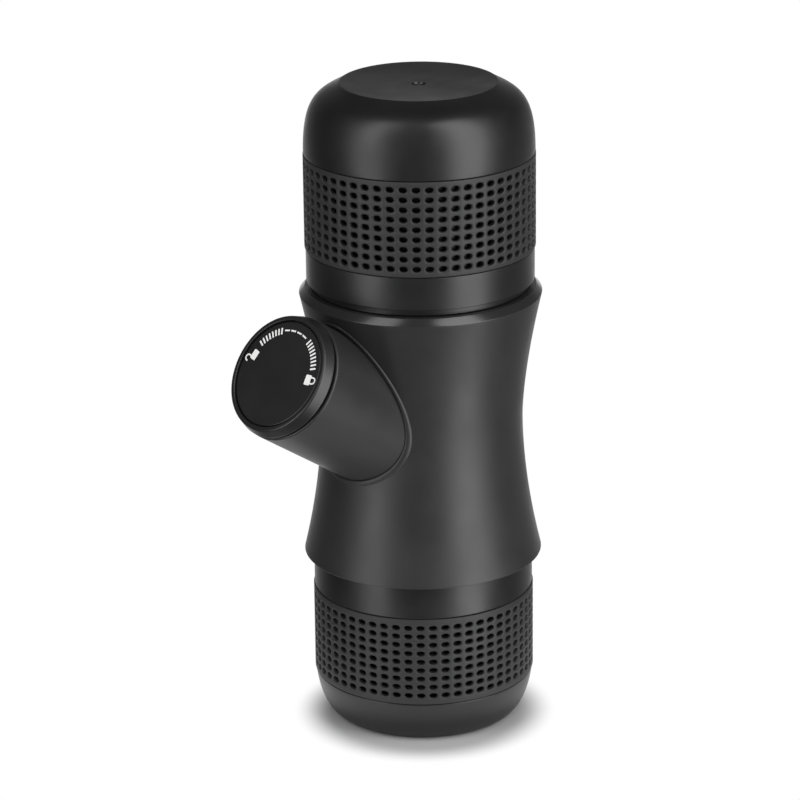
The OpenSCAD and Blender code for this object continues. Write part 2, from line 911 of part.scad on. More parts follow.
module scoop() {
    r = chamber_r - running_gap - basket_wall - 2 * running_gap;
    low = basket_rim_z + rim_h - basket_depth + basket_wall;
    top = basket_rim_z + rim_h - 0.4;
    color(black_plastic)
        rotate_extrude()
            polygon([
                [0, low],
                [r - 1.5, low],
                [r, low + 1.5],
                [r, top],
                [r - scoop_wall, top],
                [r - scoop_wall, low + 2.2],
                [r - scoop_wall - 1, low + 1.6],
                [0, low + 1.6]
            ]);
}

module head_seal() {
    color(seal_rubber)
        translate([0, 0, head_seal_z])
            tube(neck_r - 0.2, chamber_r - 0.8, head_seal_h);
}

// ---- Outlet head ----

module outlet_head() {
    pocket = 1;
    groove = 1.6;
    color(black_plastic)
        difference() {
            rotate_extrude()
                polygon([
                    [head_skirt_r, flange_z],
                    [flange_r, flange_z],
                    [flange_r, cup_z],
                    [head_r, cup_z],
                    [head_r, head_shoulder_z - 2],
                    [head_r - 2, head_shoulder_z],
                    [spout_r + 5, spout_z - 2],
                    [spout_r, spout_z],
                    [spout_r, spout_z + spout_h - 1],
                    [spout_r - 1, spout_z + spout_h],
                    [spout_bore_r, spout_z + spout_h],
                    [spout_bore_r, head_shoulder_z + 1],
                    [screen_r, head_roof_z + pocket],
                    [screen_r, head_roof_z],
                    [head_skirt_r, head_roof_z]
                ]);
            translate([0, 0, cup_z + 3])
                tube(head_r + 1, head_r - 0.9, groove);
        }
}

module head_screen() {
    color(steel)
        translate([0, 0, head_roof_z])
            difference() {
                cylinder(r = screen_r - seat_gap, h = sieve_t);
                translate([0, 0, -1])
                    sieve_holes(chamber_r - 4, 3.4, 3);
            }
}

module screen_nut() {
    color(inner_plastic)
        translate([0, 0, head_roof_z + sieve_t])
            difference() {
                tube(spout_bore_r + 2.4, spout_bore_r, 0.6);
                for (turn = [0:60:300])
                    rotate([0, 0, turn])
                        translate([spout_bore_r + 2.4, 0, -1])
                            cylinder(r = 0.7, h = 3, $fn = 16);
            }
}

module cup_ring() {
    color(seal_rubber)
        translate([0, 0, cup_z + 3 + 0.1])
            rotate_extrude()
                translate([head_r + 0.05, 0.7])
                    circle(r = 0.7, $fn = 24);
}

// ---- Cup ----

module cup() {
    smooth_r = cup_r - cup_step;
    band_seat = cup_r - band_t - seat_gap;
    inner_r = band_seat - cup_wall + 0.4;
    inner_top = cup_top - dish_depth - cup_wall;
    color(black_plastic)
        difference() {
            rotate_extrude()
                polygon(concat(
                    [
                        [smooth_r - cup_wall, cup_z],
                        [smooth_r, cup_z],
                        [smooth_r, cup_band_z - seam_gap],
                        [band_seat, cup_band_z - seam_gap],
                        [band_seat, cup_band_top + seam_gap]
                    ],
                    shoulder(smooth_r + 0.2, dish_r, cup_band_top + seam_gap, cup_top, 12),
                    dish(dish_r, cup_top, dish_depth, 6),
                    [[0, inner_top]],
                    reversed(shoulder(inner_r, dish_r - 4, cup_band_top, inner_top, 7)),
                    [[inner_r, cup_z + 2]]
                ));
            translate([0, 0, cup_top - dish_depth - 0.5]) {
                translate([-(gate_l - gate_w) / 2, -gate_w / 2, 0])
                    cube([gate_l - gate_w, gate_w, 2]);
                for (side = [-1, 1])
                    translate([side * (gate_l - gate_w) / 2, 0, 0])
                        cylinder(r = gate_w / 2, h = 2, $fn = 16);
            }
        }
}

module cup_grip_band() {
    color(band_plastic)
        difference() {
            translate([0, 0, cup_band_z])
                band_ring(cup_r, cup_band_h);
            band_holes(cup_r, cup_band_z + cup_band_h / 2, cup_row_pitch);
        }
}

water_tank();
tank_grip_band();
tank_seal();
body_shell();
tank_socket();
inlet_strainer();
socket_screws();
pump_block();
brew_chamber();
chamber_screws();
riser_seal();
piston_sleeve();
sleeve_ring();
rod_guide();
piston_spring();
inlet_seat();
inlet_poppet();
inlet_spring();
outlet_seat();
outlet_poppet();
outlet_spring();
outlet_cage();
piston_rod();
piston_head();
piston_seals();
rod_clip();
plunger();
knob_cap();
knob_disc();
knob_screws();
filter_basket();
basket_gasket();
scoop();
head_seal();
outlet_head();
head_screen();
screen_nut();
cup_ring();
cup();
cup_grip_band();
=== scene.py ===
"""Looks of a handheld manual espresso maker, built round its fixed frame.

The maker stands on its water tank. Above it come the waisted pump body with the slanted knob, the
brewing head and the cup, upside down. Lengths are metres, +Z is up, and the knob leans out to -X.
"""

import json
import logging
import math
from collections.abc import Sequence
from dataclasses import dataclass, replace
from enum import Enum

import bmesh
import bpy
from mathutils import Matrix, Vector


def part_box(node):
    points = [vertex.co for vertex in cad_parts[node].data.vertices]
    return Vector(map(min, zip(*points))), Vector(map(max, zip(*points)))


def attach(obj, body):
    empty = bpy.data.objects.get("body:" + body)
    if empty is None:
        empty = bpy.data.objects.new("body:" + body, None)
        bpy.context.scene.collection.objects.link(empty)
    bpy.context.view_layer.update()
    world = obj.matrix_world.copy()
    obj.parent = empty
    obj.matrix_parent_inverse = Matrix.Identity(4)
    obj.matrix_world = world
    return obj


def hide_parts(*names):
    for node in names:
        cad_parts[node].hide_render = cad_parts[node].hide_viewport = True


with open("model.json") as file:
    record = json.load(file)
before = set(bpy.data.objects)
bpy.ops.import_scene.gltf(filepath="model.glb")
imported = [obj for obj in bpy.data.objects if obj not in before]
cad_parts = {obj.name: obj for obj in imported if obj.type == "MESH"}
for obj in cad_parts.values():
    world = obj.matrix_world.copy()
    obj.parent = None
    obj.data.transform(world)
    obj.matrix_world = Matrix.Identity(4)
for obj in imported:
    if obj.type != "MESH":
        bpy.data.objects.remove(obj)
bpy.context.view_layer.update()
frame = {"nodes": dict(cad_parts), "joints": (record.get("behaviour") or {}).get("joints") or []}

MM = 0.001
# Points of a piece closer than this are one point.
SAME_SPOT = 1e-7
# Points where repeated copies meet are welded within this distance.
WELD = 2e-6
# Edges that turn by more than this many degrees stay sharp.
CREASE = 50.0
LOG = logging.getLogger("espresso_maker")

Outline = list[tuple[float, float]]


# ---- Node trees ----


def add_node(tree: bpy.types.NodeTree, kind: str, inputs: dict | None = None, **settings) -> bpy.types.Node:
    """Adds one node to a shader or geometry tree.

    Args:
        tree: The tree that gets the node.
        kind: Blender's name of the node type.
        inputs: Input name or number to a constant, or to the output socket that feeds it.
        settings: Properties of the node, such as operation or data_type.

    Returns:
        The new node.
    """
    node = tree.nodes.new(kind)
    for key, value in settings.items():
        setattr(node, key, value)
    for key, value in (inputs or {}).items():
        if isinstance(value, bpy.types.NodeSocket):
            tree.links.new(value, node.inputs[key])
        else:
            node.inputs[key].default_value = value
    return node


def linear(hex_colour: str) -> tuple[float, float, float, float]:
    """Turns an sRGB hex colour into the linear values that sockets take.

    Args:
        hex_colour: Six hex digits, such as "2a2b2d".

    Returns:
        Linear red, green, blue and an alpha of 1.
    """
    parts = [int(hex_colour[i:i + 2], 16) / 255 for i in (0, 2, 4)]
    red, green, blue = (c / 12.92 if c <= 0.04045 else ((c + 0.055) / 1.055) ** 2.4 for c in parts)
    return red, green, blue, 1.0


# ---- Finishes ----


@dataclass(frozen=True)
class Finish:
    """A surface finish: what it is made of and how its skin was made.

    The colour wanders a little between two shades in soft clouds, and the skin has a fine grain.
    """

    name: str
    shade: str
    cloud_shade: str
    roughness: float
    roughness_spread: float = 0.05
    ior: float = 1.5
    metallic: float = 0.0
    grain: float = 0.25 * MM
    grain_depth: float = 0.004 * MM
    clouds: float = 14 * MM
    # Above this height the skin is polished, as on the lip's bevel. 1 m lies above the whole maker.
    polish_above: float = 1.0
    polish: float = 0.2

    def make(self) -> bpy.types.Material:
        """Builds the material once and gives it again on every later call.

        Returns:
            The material.
        """
        made = bpy.data.materials.get(self.name)
        if made:
            return made
        made = bpy.data.materials.new(self.name)
        made.use_nodes = True
        tree = made.node_tree
        shader = tree.nodes["Principled BSDF"]
        spot = add_node(tree, "ShaderNodeTexCoord").outputs["Object"]
        clouds = add_node(tree, "ShaderNodeTexNoise", {
            "Vector": spot, "Scale": 1 / self.clouds, "Detail": 3.0, "Roughness": 0.55})
        grain = add_node(tree, "ShaderNodeTexNoise", {
            "Vector": spot, "Scale": 1 / self.grain, "Detail": 2.0, "Roughness": 0.6})
        colour = add_node(tree, "ShaderNodeMix", {
            "Factor": clouds.outputs["Fac"], "A": linear(self.shade), "B": linear(self.cloud_shade)},
            data_type="RGBA")
        rough = add_node(tree, "ShaderNodeMapRange", {
            "Value": clouds.outputs["Fac"], "From Min": 0.3, "From Max": 0.7,
            "To Min": self.roughness - self.roughness_spread,
            "To Max": self.roughness + self.roughness_spread})
        height = add_node(tree, "ShaderNodeSeparateXYZ", {0: spot}).outputs["Z"]
        polished = add_node(tree, "ShaderNodeMath", {
            0: height, 1: self.polish_above}, operation="GREATER_THAN")
        gloss = add_node(tree, "ShaderNodeMix", {
            "Factor": polished.outputs[0], "A": rough.outputs["Result"], "B": self.polish})
        bump = add_node(tree, "ShaderNodeBump", {
            "Height": grain.outputs["Fac"], "Strength": 1.0, "Distance": self.grain_depth})
        tree.links.new(colour.outputs["Result"], shader.inputs["Base Color"])
        tree.links.new(gloss.outputs["Result"], shader.inputs["Roughness"])
        tree.links.new(bump.outputs["Normal"], shader.inputs["Normal"])
        shader.inputs["IOR"].default_value = self.ior
        shader.inputs["Metallic"].default_value = self.metallic
        return made


class Finishes(Enum):
    """The finishes of the maker's pieces."""

    # Injection-moulded PC/ABS from an eroded mould: a soft satin black with broad, soft reflections.
    SATIN_BLACK = Finish("moulded_plastic_satin_black", "111112", "161617", 0.38, ior=1.58)
    # The pump body is the same plastic from a rougher mould, so it looks a little paler.
    BODY_BLACK = Finish("moulded_plastic_dull_black", "232324", "282829", 0.44, ior=1.58)
    # Soft-touch TPE, moulded over the grip: duller and a little paler than the hard plastic.
    GRIP_TPE = Finish("moulded_tpe_grip", "262627", "2b2b2c", 0.55, grain=0.35 * MM, grain_depth=0.012 * MM)
    # The knob's cap is the same plastic, polished a little by the palm.
    KNOB_BLACK = Finish("handled_plastic_knob", "1a1a1b", "1e1e20", 0.36, ior=1.58)
    # The inlaid disc comes from a smoother mould, almost plain black.
    DISC_BLACK = Finish("smooth_plastic_disc", "1a1a1b", "1d1d1f", 0.36, grain_depth=0.002 * MM, ior=1.58)
    # Marks are pad-printed ink: flat white with hardly any gloss.
    WHITE_INK = Finish("pad_printed_ink", "ededec", "f6f6f5", 0.6)
    # Inner mouldings are glass-filled nylon: dark grey, with a faint mottle from the fibres.
    NYLON_GREY = Finish("glass_filled_nylon", "4a4c4e", "53565a", 0.48, clouds=3 * MM)
    # Seals are moulded silicone, brick red, with a dull skin.
    SILICONE_RED = Finish("moulded_silicone", "7c2a20", "8a3327", 0.5, ior=1.43)
    # Rod, springs, screws and sieves are drawn and brushed stainless steel.
    STAINLESS = Finish("brushed_stainless", "c4c5c6", "cfd0d1", 0.26, metallic=1.0, grain_depth=0.002 * MM)


# ---- Meshes ----


def fillet(outline: Outline, radii: dict[int, float], steps: int = 4) -> Outline:
    """Rounds chosen corners of an open or closed outline.

    Args:
        outline: Points of radius and height.
        radii: Corner number to the radius of its rounding.
        steps: Segments of each rounding.

    Returns:
        The outline with an arc at each chosen corner.
    """
    rounded: Outline = []
    for i, point in enumerate(outline):
        radius = radii.get(i, 0.0)
        if not radius:
            rounded.append(point)
            continue
        corner = Vector(point)
        back = (Vector(outline[i - 1]) - corner).normalized()
        ahead = (Vector(outline[(i + 1) % len(outline)]) - corner).normalized()
        half = math.acos(max(-1.0, min(1.0, back.dot(ahead)))) / 2
        reach = radius / math.tan(half)
        centre = corner + (back + ahead).normalized() * (radius / math.sin(half))
        start = corner + back * reach - centre
        end = corner + ahead * reach - centre
        turn = start.angle_signed(end)
        for step in range(steps + 1):
            spoke = Matrix.Rotation(-turn * step / steps, 2) @ start
            rounded.append(tuple(centre + spoke))
    return rounded


def with_supports(outline: Outline, hold: float = 0.25 * MM, long: float = 1.5 * MM) -> Outline:
    """Adds a point near both ends of each long stretch, so that smooth shading stays flat between roundings.

    Args:
        outline: Points of radius and height, the last joined to the first.
        hold: Distance of the added points from the corners.
        long: Length above which a stretch gets them.

    Returns:
        The outline with its support points.
    """
    held: Outline = []
    for point, following in zip(outline, outline[1:] + outline[:1]):
        a, b = Vector(point), Vector(following)
        held.append(tuple(a))
        if (b - a).length > long:
            step = (b - a).normalized() * hold
            held += [tuple(a + step), tuple(b - step)]
    return held


def finish_mesh(name: str, mesh: bmesh.types.BMesh, crease: float = CREASE) -> bpy.types.Object:
    """Turns a bmesh into an object at the origin, with outward normals and smooth shading.

    Args:
        name: Name of the piece.
        mesh: The faces, freed by this call.
        crease: Angle in degrees above which an edge stays sharp.

    Returns:
        The piece, linked to the scene.
    """
    bmesh.ops.remove_doubles(mesh, verts=mesh.verts, dist=SAME_SPOT)
    bmesh.ops.recalc_face_normals(mesh, faces=mesh.faces)
    data = bpy.data.meshes.new(name)
    mesh.to_mesh(data)
    mesh.free()
    data.shade_smooth()
    data.set_sharp_from_angle(angle=math.radians(crease))
    piece = bpy.data.objects.new(name, data)
    bpy.context.scene.collection.objects.link(piece)
    return piece


def turned(name: str, outline: Outline, segments: int = 192) -> bpy.types.Object:
    """Revolves a closed outline about Z.

    Args:
        name: Name of the piece.
        outline: Points of radius and height, the last joined to the first.
        segments: Steps of the full turn.

    Returns:
        The closed solid of revolution.
    """
    mesh = bmesh.new()
    rings = []
    for radius, height in outline:
        if radius < SAME_SPOT:
            rings.append([mesh.verts.new((0, 0, height))] * segments)
            continue
        angles = (2 * math.pi * k / segments for k in range(segments))
        rings.append([mesh.verts.new((radius * math.cos(a), radius * math.sin(a), height)) for a in angles])
    for ring, following in zip(rings, rings[1:] + rings[:1]):
        for k in range(segments):
            j = (k + 1) % segments
            corners = dict.fromkeys((ring[k], ring[j], following[j], following[k]))
            if len(corners) > 2:
                mesh.faces.new(list(corners))
    return finish_mesh(name, mesh)


def run_geometry_nodes(piece: bpy.types.Object, tree: bpy.types.NodeTree, values: dict) -> None:
    """Runs a geometry tree on a piece and keeps its result as the piece's plain mesh.

    Args:
        piece: The object that the tree starts from and whose mesh is replaced.
        tree: The tree.
        values: Name of each input to its value.
    """
    modifier = piece.modifiers.new(tree.name, "NODES")
    modifier.node_group = tree
    for item in tree.interface.items_tree:
        if item.item_type == "SOCKET" and item.in_out == "INPUT" and item.name in values:
            modifier[item.identifier] = values[item.name]
    piece.update_tag()
    shown = piece.evaluated_get(bpy.context.evaluated_depsgraph_get())
    result = bpy.data.meshes.new_from_object(shown)
    piece.modifiers.remove(modifier)
    piece.data = result
    result.name = piece.name


def new_geometry_tree(name: str, sockets: dict[str, str]) -> tuple[bpy.types.NodeTree, bpy.types.Node]:
    """Starts a geometry tree with named inputs.

    Args:
        name: Name of the tree.
        sockets: Name of each input to its socket type.

    Returns:
        The tree and its Group Input node.
    """
    tree = bpy.data.node_groups.new(name, "GeometryNodeTree")
    tree.interface.new_socket("Geometry", in_out="INPUT", socket_type="NodeSocketGeometry")
    for label, kind in sockets.items():
        tree.interface.new_socket(label, in_out="INPUT", socket_type=kind)
    tree.interface.new_socket("Geometry", in_out="OUTPUT", socket_type="NodeSocketGeometry")
    return tree, add_node(tree, "NodeGroupInput")


def end_geometry_tree(tree: bpy.types.NodeTree, geometry: bpy.types.NodeSocket,
                      material: bpy.types.NodeSocket) -> None:
    """Ends a geometry tree with real faces, smooth shading and its material.

    Args:
        tree: The tree to end.
        geometry: The socket with the finished shape.
        material: The socket that gives the material.
    """
    real = add_node(tree, "GeometryNodeRealizeInstances", {"Geometry": geometry})
    welded = add_node(tree, "GeometryNodeMergeByDistance", {"Geometry": real.outputs[0], "Distance": WELD})
    smooth = add_node(tree, "GeometryNodeSetShadeSmooth", {"Geometry": welded.outputs[0]})
    dressed = add_node(tree, "GeometryNodeSetMaterial", {"Geometry": smooth.outputs[0], "Material": material})
    add_node(tree, "NodeGroupOutput", {0: dressed.outputs[0]})


def place(piece: bpy.types.Object, body: str, finish: Finishes | None = None,
          stands_for: Sequence[str] = ()) -> None:
    """Dresses a finished piece and ties it to the frame.

    Args:
        piece: The piece, already where it belongs.
        body: The body that it moves with.
        finish: Its finish, or None where the mesh already carries one.
        stands_for: The nodes that it is shown in place of.
    """
    if finish:
        piece.data.materials.clear()
        piece.data.materials.append(finish.value.make())
    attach(piece, body)
    if stands_for:
        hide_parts(*stands_for)
    LOG.info("%s: %d faces, rides on %s", piece.name, len(piece.data.polygons), body)


# ---- Grip bands ----


def grip_band_tree() -> bpy.types.NodeTree:
    """Builds the tree that repeats one upright column of holes round a band.

    The column comes in flat: x runs along the band, y is the depth under its face, z is the height.

    Returns:
        The geometry tree, shared by both bands.
    """
    tree, start = new_geometry_tree("grip_band_columns", {
        "Columns": "NodeSocketInt", "Radius": "NodeSocketFloat", "Material": "NodeSocketMaterial"})
    inputs = start.outputs
    length = add_node(tree, "ShaderNodeMath", {
        0: inputs["Radius"], 1: 2 * math.pi}, operation="MULTIPLY")
    pitch = add_node(tree, "ShaderNodeMath", {
        0: length.outputs[0], 1: inputs["Columns"]}, operation="DIVIDE")
    stride = add_node(tree, "ShaderNodeCombineXYZ", {"X": pitch.outputs[0]})
    spots = add_node(tree, "GeometryNodeMeshLine", {"Count": inputs["Columns"], "Offset": stride.outputs[0]})
    copies = add_node(tree, "GeometryNodeInstanceOnPoints", {
        "Points": spots.outputs["Mesh"], "Instance": inputs["Geometry"]})
    flat = add_node(tree, "GeometryNodeRealizeInstances", {"Geometry": copies.outputs[0]})
    spot = add_node(tree, "GeometryNodeInputPosition").outputs[0]
    where = add_node(tree, "ShaderNodeSeparateXYZ", {0: spot})
    angle = add_node(tree, "ShaderNodeMath", {0: where.outputs["X"], 1: inputs["Radius"]}, operation="DIVIDE")
    out = add_node(tree, "ShaderNodeMath", {0: where.outputs["Y"], 1: inputs["Radius"]}, operation="ADD")
    cosine = add_node(tree, "ShaderNodeMath", {0: angle.outputs[0]}, operation="COSINE")
    sine = add_node(tree, "ShaderNodeMath", {0: angle.outputs[0]}, operation="SINE")
    x = add_node(tree, "ShaderNodeMath", {0: out.outputs[0], 1: cosine.outputs[0]}, operation="MULTIPLY")
    y = add_node(tree, "ShaderNodeMath", {0: out.outputs[0], 1: sine.outputs[0]}, operation="MULTIPLY")
    bent = add_node(tree, "ShaderNodeCombineXYZ", {
        "X": x.outputs[0], "Y": y.outputs[0], "Z": where.outputs["Z"]})
    wrapped = add_node(tree, "GeometryNodeSetPosition", {
        "Geometry": flat.outputs[0], "Position": bent.outputs[0]})
    end_geometry_tree(tree, wrapped.outputs[0], inputs["Material"])
    return tree


@dataclass
class GripBand:
    """A perforated band pushed over the cup or the tank."""

    node: str
    body: str
    row_pitch: float
    hole_half_h: float
    columns: int = 56
    rows: int = 9
    thickness: float = 1.2 * MM
    hole_half_w: float = 1.15 * MM
    hole_edge: float = 0.28 * MM
    # Where the hole's rounded edge has its middle ring, as a share of the edge.
    edge_knee: float = 0.3
    rim_round: float = 0.3 * MM
    rim_steps: int = 4

    def __post_init__(self) -> None:
        """Reads the band's place from its node."""
        low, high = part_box(self.node)
        self.low, self.high = low.z, high.z
        self.radius = high.x
        self.column_w = 2 * math.pi * self.radius / self.columns

    def rectangle(self) -> Outline:
        """Goes round one cell's edge.

        Returns:
            Twelve points, each side in thirds, starting low on the right side.
        """
        half_w, half_h = self.column_w / 2, self.row_pitch / 2
        third_w, third_h = half_w / 3, half_h / 3
        right = [(half_w, -third_h), (half_w, third_h), (half_w, half_h)]
        top = [(third_w, half_h), (-third_w, half_h), (-half_w, half_h)]
        left = [(-half_w, third_h), (-half_w, -third_h), (-half_w, -half_h)]
        bottom = [(-third_w, -half_h), (third_w, -half_h), (half_w, -half_h)]
        return right + top + left + bottom

    def oval(self, grow: float) -> Outline:
        """Goes round the hole.

        Args:
            grow: How far outside the hole's wall the points lie.

        Returns:
            As many points as the cell's edge has, each on the way to its own.
        """
        half_w, half_h = self.hole_half_w + grow, self.hole_half_h + grow
        angles = (math.atan2(z, x) for x, z in self.rectangle())
        return [(half_w * math.cos(a), half_h * math.sin(a)) for a in angles]

    def cell_rings(self) -> list[tuple[Outline, float]]:
        """Lists the rings of a cell, from its edge in front through the hole to its edge behind.

        Returns:
            Outline and depth of each ring.
        """
        edge, knee = self.hole_edge, self.edge_knee * self.hole_edge
        return [
            (self.rectangle(), 0.0),
            (self.oval(edge), 0.0),
            (self.oval(knee), -knee),
            (self.oval(0.0), -edge),
            (self.oval(0.0), -self.thickness),
            (self.rectangle(), -self.thickness),
        ]

    def rim(self, z_in: float, z_out: float) -> Outline:
        """Goes from the front of the outermost cell round the rim to its back.

        Args:
            z_in: Height where the outermost cell ends.
            z_out: Height where the band ends.

        Returns:
            Depth and height of the points.
        """
        up = 1 if z_out > z_in else -1
        turn = self.rim_round
        angles = (math.pi / 2 * k / self.rim_steps for k in range(self.rim_steps + 1))
        corner = [(turn * (math.cos(a) - 1), z_out - up * turn * (1 - math.sin(a))) for a in angles]
        return [(0.0, z_in), *corner, (-self.thickness, z_out), (-self.thickness, z_in)]

    def column(self) -> bmesh.types.BMesh:
        """Makes one flat column of holes with its rims.

        Returns:
            Its faces, open at both sides.
        """
        mesh = bmesh.new()
        middle = (self.low + self.high) / 2
        for row in range(self.rows):
            z = middle + (row - (self.rows - 1) / 2) * self.row_pitch
            rings = [
                [mesh.verts.new((x, depth, z + up)) for x, up in points]
                for points, depth in self.cell_rings()
            ]
            for ring, following in zip(rings, rings[1:]):
                for k in range(len(ring)):
                    j = (k + 1) % len(ring)
                    mesh.faces.new((ring[k], ring[j], following[j], following[k]))
        half_rows = self.rows * self.row_pitch / 2
        across = [self.column_w * share for share in (-1 / 2, -1 / 6, 1 / 6, 1 / 2)]
        for z_in, z_out in ((middle + half_rows, self.high), (middle - half_rows, self.low)):
            strips = [[mesh.verts.new((x, y, z)) for y, z in self.rim(z_in, z_out)] for x in across]
            for strip, beside in zip(strips, strips[1:]):
                for k in range(len(strip) - 1):
                    mesh.faces.new((strip[k], beside[k], beside[k + 1], strip[k + 1]))
        return mesh

    def build(self, tree: bpy.types.NodeTree) -> None:
        """Makes the band.

        Args:
            tree: The tree that repeats the column.
        """
        band = finish_mesh(f"{self.node}_perforated", self.column())
        run_geometry_nodes(band, tree, {
            "Columns": self.columns, "Radius": self.radius, "Material": Finishes.GRIP_TPE.value.make()})
        data = bmesh.new()
        data.from_mesh(band.data)
        bmesh.ops.recalc_face_normals(data, faces=data.faces)
        data.to_mesh(band.data)
        data.free()
        place(band, self.body, stands_for=[self.node])


# ---- Screw threads ----


def thread_tree() -> bpy.types.NodeTree:
    """Builds the tree that winds a round bead up a neck.

    Returns:
        A tree with the radius, height and turns of the helix and the radius of the bead as inputs.
    """
    tree, start = new_geometry_tree("round_thread", {
        "Radius": "NodeSocketFloat", "Height": "NodeSocketFloat", "Turns": "NodeSocketFloat",
        "Bead": "NodeSocketFloat", "Low": "NodeSocketFloat", "Material": "NodeSocketMaterial"})
    inputs = start.outputs
    helix = add_node(tree, "GeometryNodeCurveSpiral", {
        "Resolution": 72, "Rotations": inputs["Turns"], "Start Radius": inputs["Radius"],
        "End Radius": inputs["Radius"], "Height": inputs["Height"]})
    foot = add_node(tree, "ShaderNodeCombineXYZ", {"Z": inputs["Low"]})
    raised = add_node(tree, "GeometryNodeSetPosition", {
        "Geometry": helix.outputs[0], "Offset": foot.outputs[0]})
    round_bead = add_node(tree, "GeometryNodeCurvePrimitiveCircle", {
        "Resolution": 12, "Radius": inputs["Bead"]})
    swept = add_node(tree, "GeometryNodeCurveToMesh", {
        "Curve": raised.outputs[0], "Profile Curve": round_bead.outputs[0], "Fill Caps": True})
    end_geometry_tree(tree, swept.outputs[0], inputs["Material"])
    return tree


@dataclass
class ScrewThread:
    """The round thread moulded on a neck, sunk so far that it only fills the fit's running gap."""

    name: str
    body: str
    slot: str
    finish: Finishes
    neck_radius: float
    neck_top: float
    # How far under the neck's top the thread starts.
    drop: float
    turns: float = 2.0
    pitch: float = 3 * MM
    bead: float = 0.6 * MM
    stand_out: float = 0.22 * MM

    def build(self, tree: bpy.types.NodeTree) -> None:
        """Winds the thread as a closed bead.

        Args:
            tree: The tree that winds it.
        """
        thread = finish_mesh(self.name, bmesh.new())
        run_geometry_nodes(thread, tree, {
            "Radius": self.neck_radius + self.stand_out - self.bead, "Height": self.turns * self.pitch,
            "Turns": self.turns, "Bead": self.bead, "Low": self.neck_top - self.drop,
            "Material": self.finish.value.make()})
        place(thread, self.body)


# ---- Cup ----


@dataclass
class Cup:
    """The drinking cup, upside down over the brewing head."""

    sink: float = 1.0 * MM
    step: float = 0.3 * MM
    wall: float = 2 * MM
    band_thickness: float = 1.2 * MM
    seam: float = 0.14 * MM
    lip_round: float = 0.2 * MM
    edge_round: float = 0.25 * MM
    mouth_height: float = 2 * MM
    # How much wider than the smooth side the shoulder starts, and how much narrower the inner one ends.
    shoulder_swell: float = 0.2 * MM
    roof_inset: float = 4 * MM
    # Handles of the shoulder's curve: up the side, and in and down from the dish's rim, as shares.
    side_handle: float = 0.868
    rim_handle: tuple[float, float] = (0.5, 0.18)
    shoulder_steps: int = 28
    inner_steps: int = 12
    dish_radius: float = 20.6 * MM
    dish_depth: float = 0.7 * MM
    rim_round: float = 0.5 * MM
    gate_radius: float = 1.9 * MM
    gate_depth: float = 0.5 * MM
    gate_slope: float = 0.25 * MM
    stub_radius: float = 0.7 * MM
    stub_height: float = 0.35 * MM
    stub_slope: float = 0.1 * MM
    stub_round: float = 0.15 * MM

    def __post_init__(self) -> None:
        """Reads the cup's place from its nodes."""
        low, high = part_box("cup")
        band_low, band_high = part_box("cup_grip_band")
        self.low, self.top = low.z, high.z
        self.band_low, self.band_high = band_low.z, band_high.z
        self.smooth_radius = band_high.x - self.step
        self.seat_radius = band_high.x - self.band_thickness - self.sink

    def shoulder(self, full: float, rim: float, low: float, high: float, steps: int) -> Outline:
        """Cubic curve from the cup's side up to the rim of the dish.

        Args:
            full: Radius at the side.
            rim: Radius at the dish.
            low: Height where the curve starts.
            high: Height where it ends.
            steps: Number of segments.

        Returns:
            Points from the side to the rim.
        """
        tall, wide = high - low, full - rim
        across, down = self.rim_handle
        a, b = Vector((full, low)), Vector((full, low + self.side_handle * tall))
        c, d = Vector((rim + across * wide, high - down * tall)), Vector((rim, high))
        shares = [k / steps for k in range(steps + 1)]
        return [
            tuple((1 - t) ** 3 * a + 3 * t * (1 - t) ** 2 * b + 3 * t * t * (1 - t) * c + t ** 3 * d)
            for t in shares
        ]

    def dish(self, steps: int = 14) -> Outline:
        """Goes along the dished top, from just inside its rim to the gate's dimple and stub in the middle.

        Args:
            steps: Number of segments of the arc.

        Returns:
            Points from the rim to the middle.
        """
        ball = (self.dish_radius ** 2 + self.dish_depth ** 2) / (2 * self.dish_depth)
        span = self.dish_radius - self.gate_radius
        radii = [self.gate_radius + span * (1 - k / steps) for k in range(1, steps + 1)]
        arc = [(r, self.top - self.dish_depth + ball - math.sqrt(ball * ball - r * r)) for r in radii]
        floor = arc[-1][1] - self.gate_depth
        stub = floor + self.stub_height
        gate = fillet([
            arc[-1], (self.gate_radius - self.gate_slope, floor), (self.stub_radius + self.stub_slope, floor),
            (self.stub_radius, stub), (0.0, stub)], {3: self.stub_round}, steps=2)
        return [*arc[:-1], *gate]

    def outline(self) -> Outline:
        """Goes round the cup's whole section, from the outer lip up over the top and down inside.

        Returns:
            Points of radius and height.
        """
        smooth, seat, seam = self.smooth_radius, self.seat_radius, self.seam
        lip = fillet([
            (smooth - self.wall, self.low), (smooth, self.low), (smooth, self.band_low - seam),
            (seat, self.band_low - seam)], {1: self.lip_round, 2: self.edge_round})
        side = self.shoulder(smooth + self.shoulder_swell, self.dish_radius, self.band_high + seam,
                             self.top, self.shoulder_steps)
        shoulder = fillet([(seat, self.band_high + seam), *side, *self.dish()],
                          {1: self.edge_round, 1 + self.shoulder_steps: self.rim_round}, steps=5)
        inner_top, bore = self.top - self.dish_depth - self.wall, seat + self.sink - self.wall
        inner = self.shoulder(bore, self.dish_radius - self.roof_inset, self.band_high, inner_top,
                              self.inner_steps)
        return with_supports([
            *lip, *shoulder, (0.0, inner_top), *reversed(inner), (bore, self.low + self.mouth_height)])

    def build(self) -> None:
        """Makes the cup with the small moulding mark in its dish."""
        cup = turned("cup_shell", self.outline(), segments=256)
        place(cup, "cup", Finishes.SATIN_BLACK, ["cup"])


# ---- Water tank ----


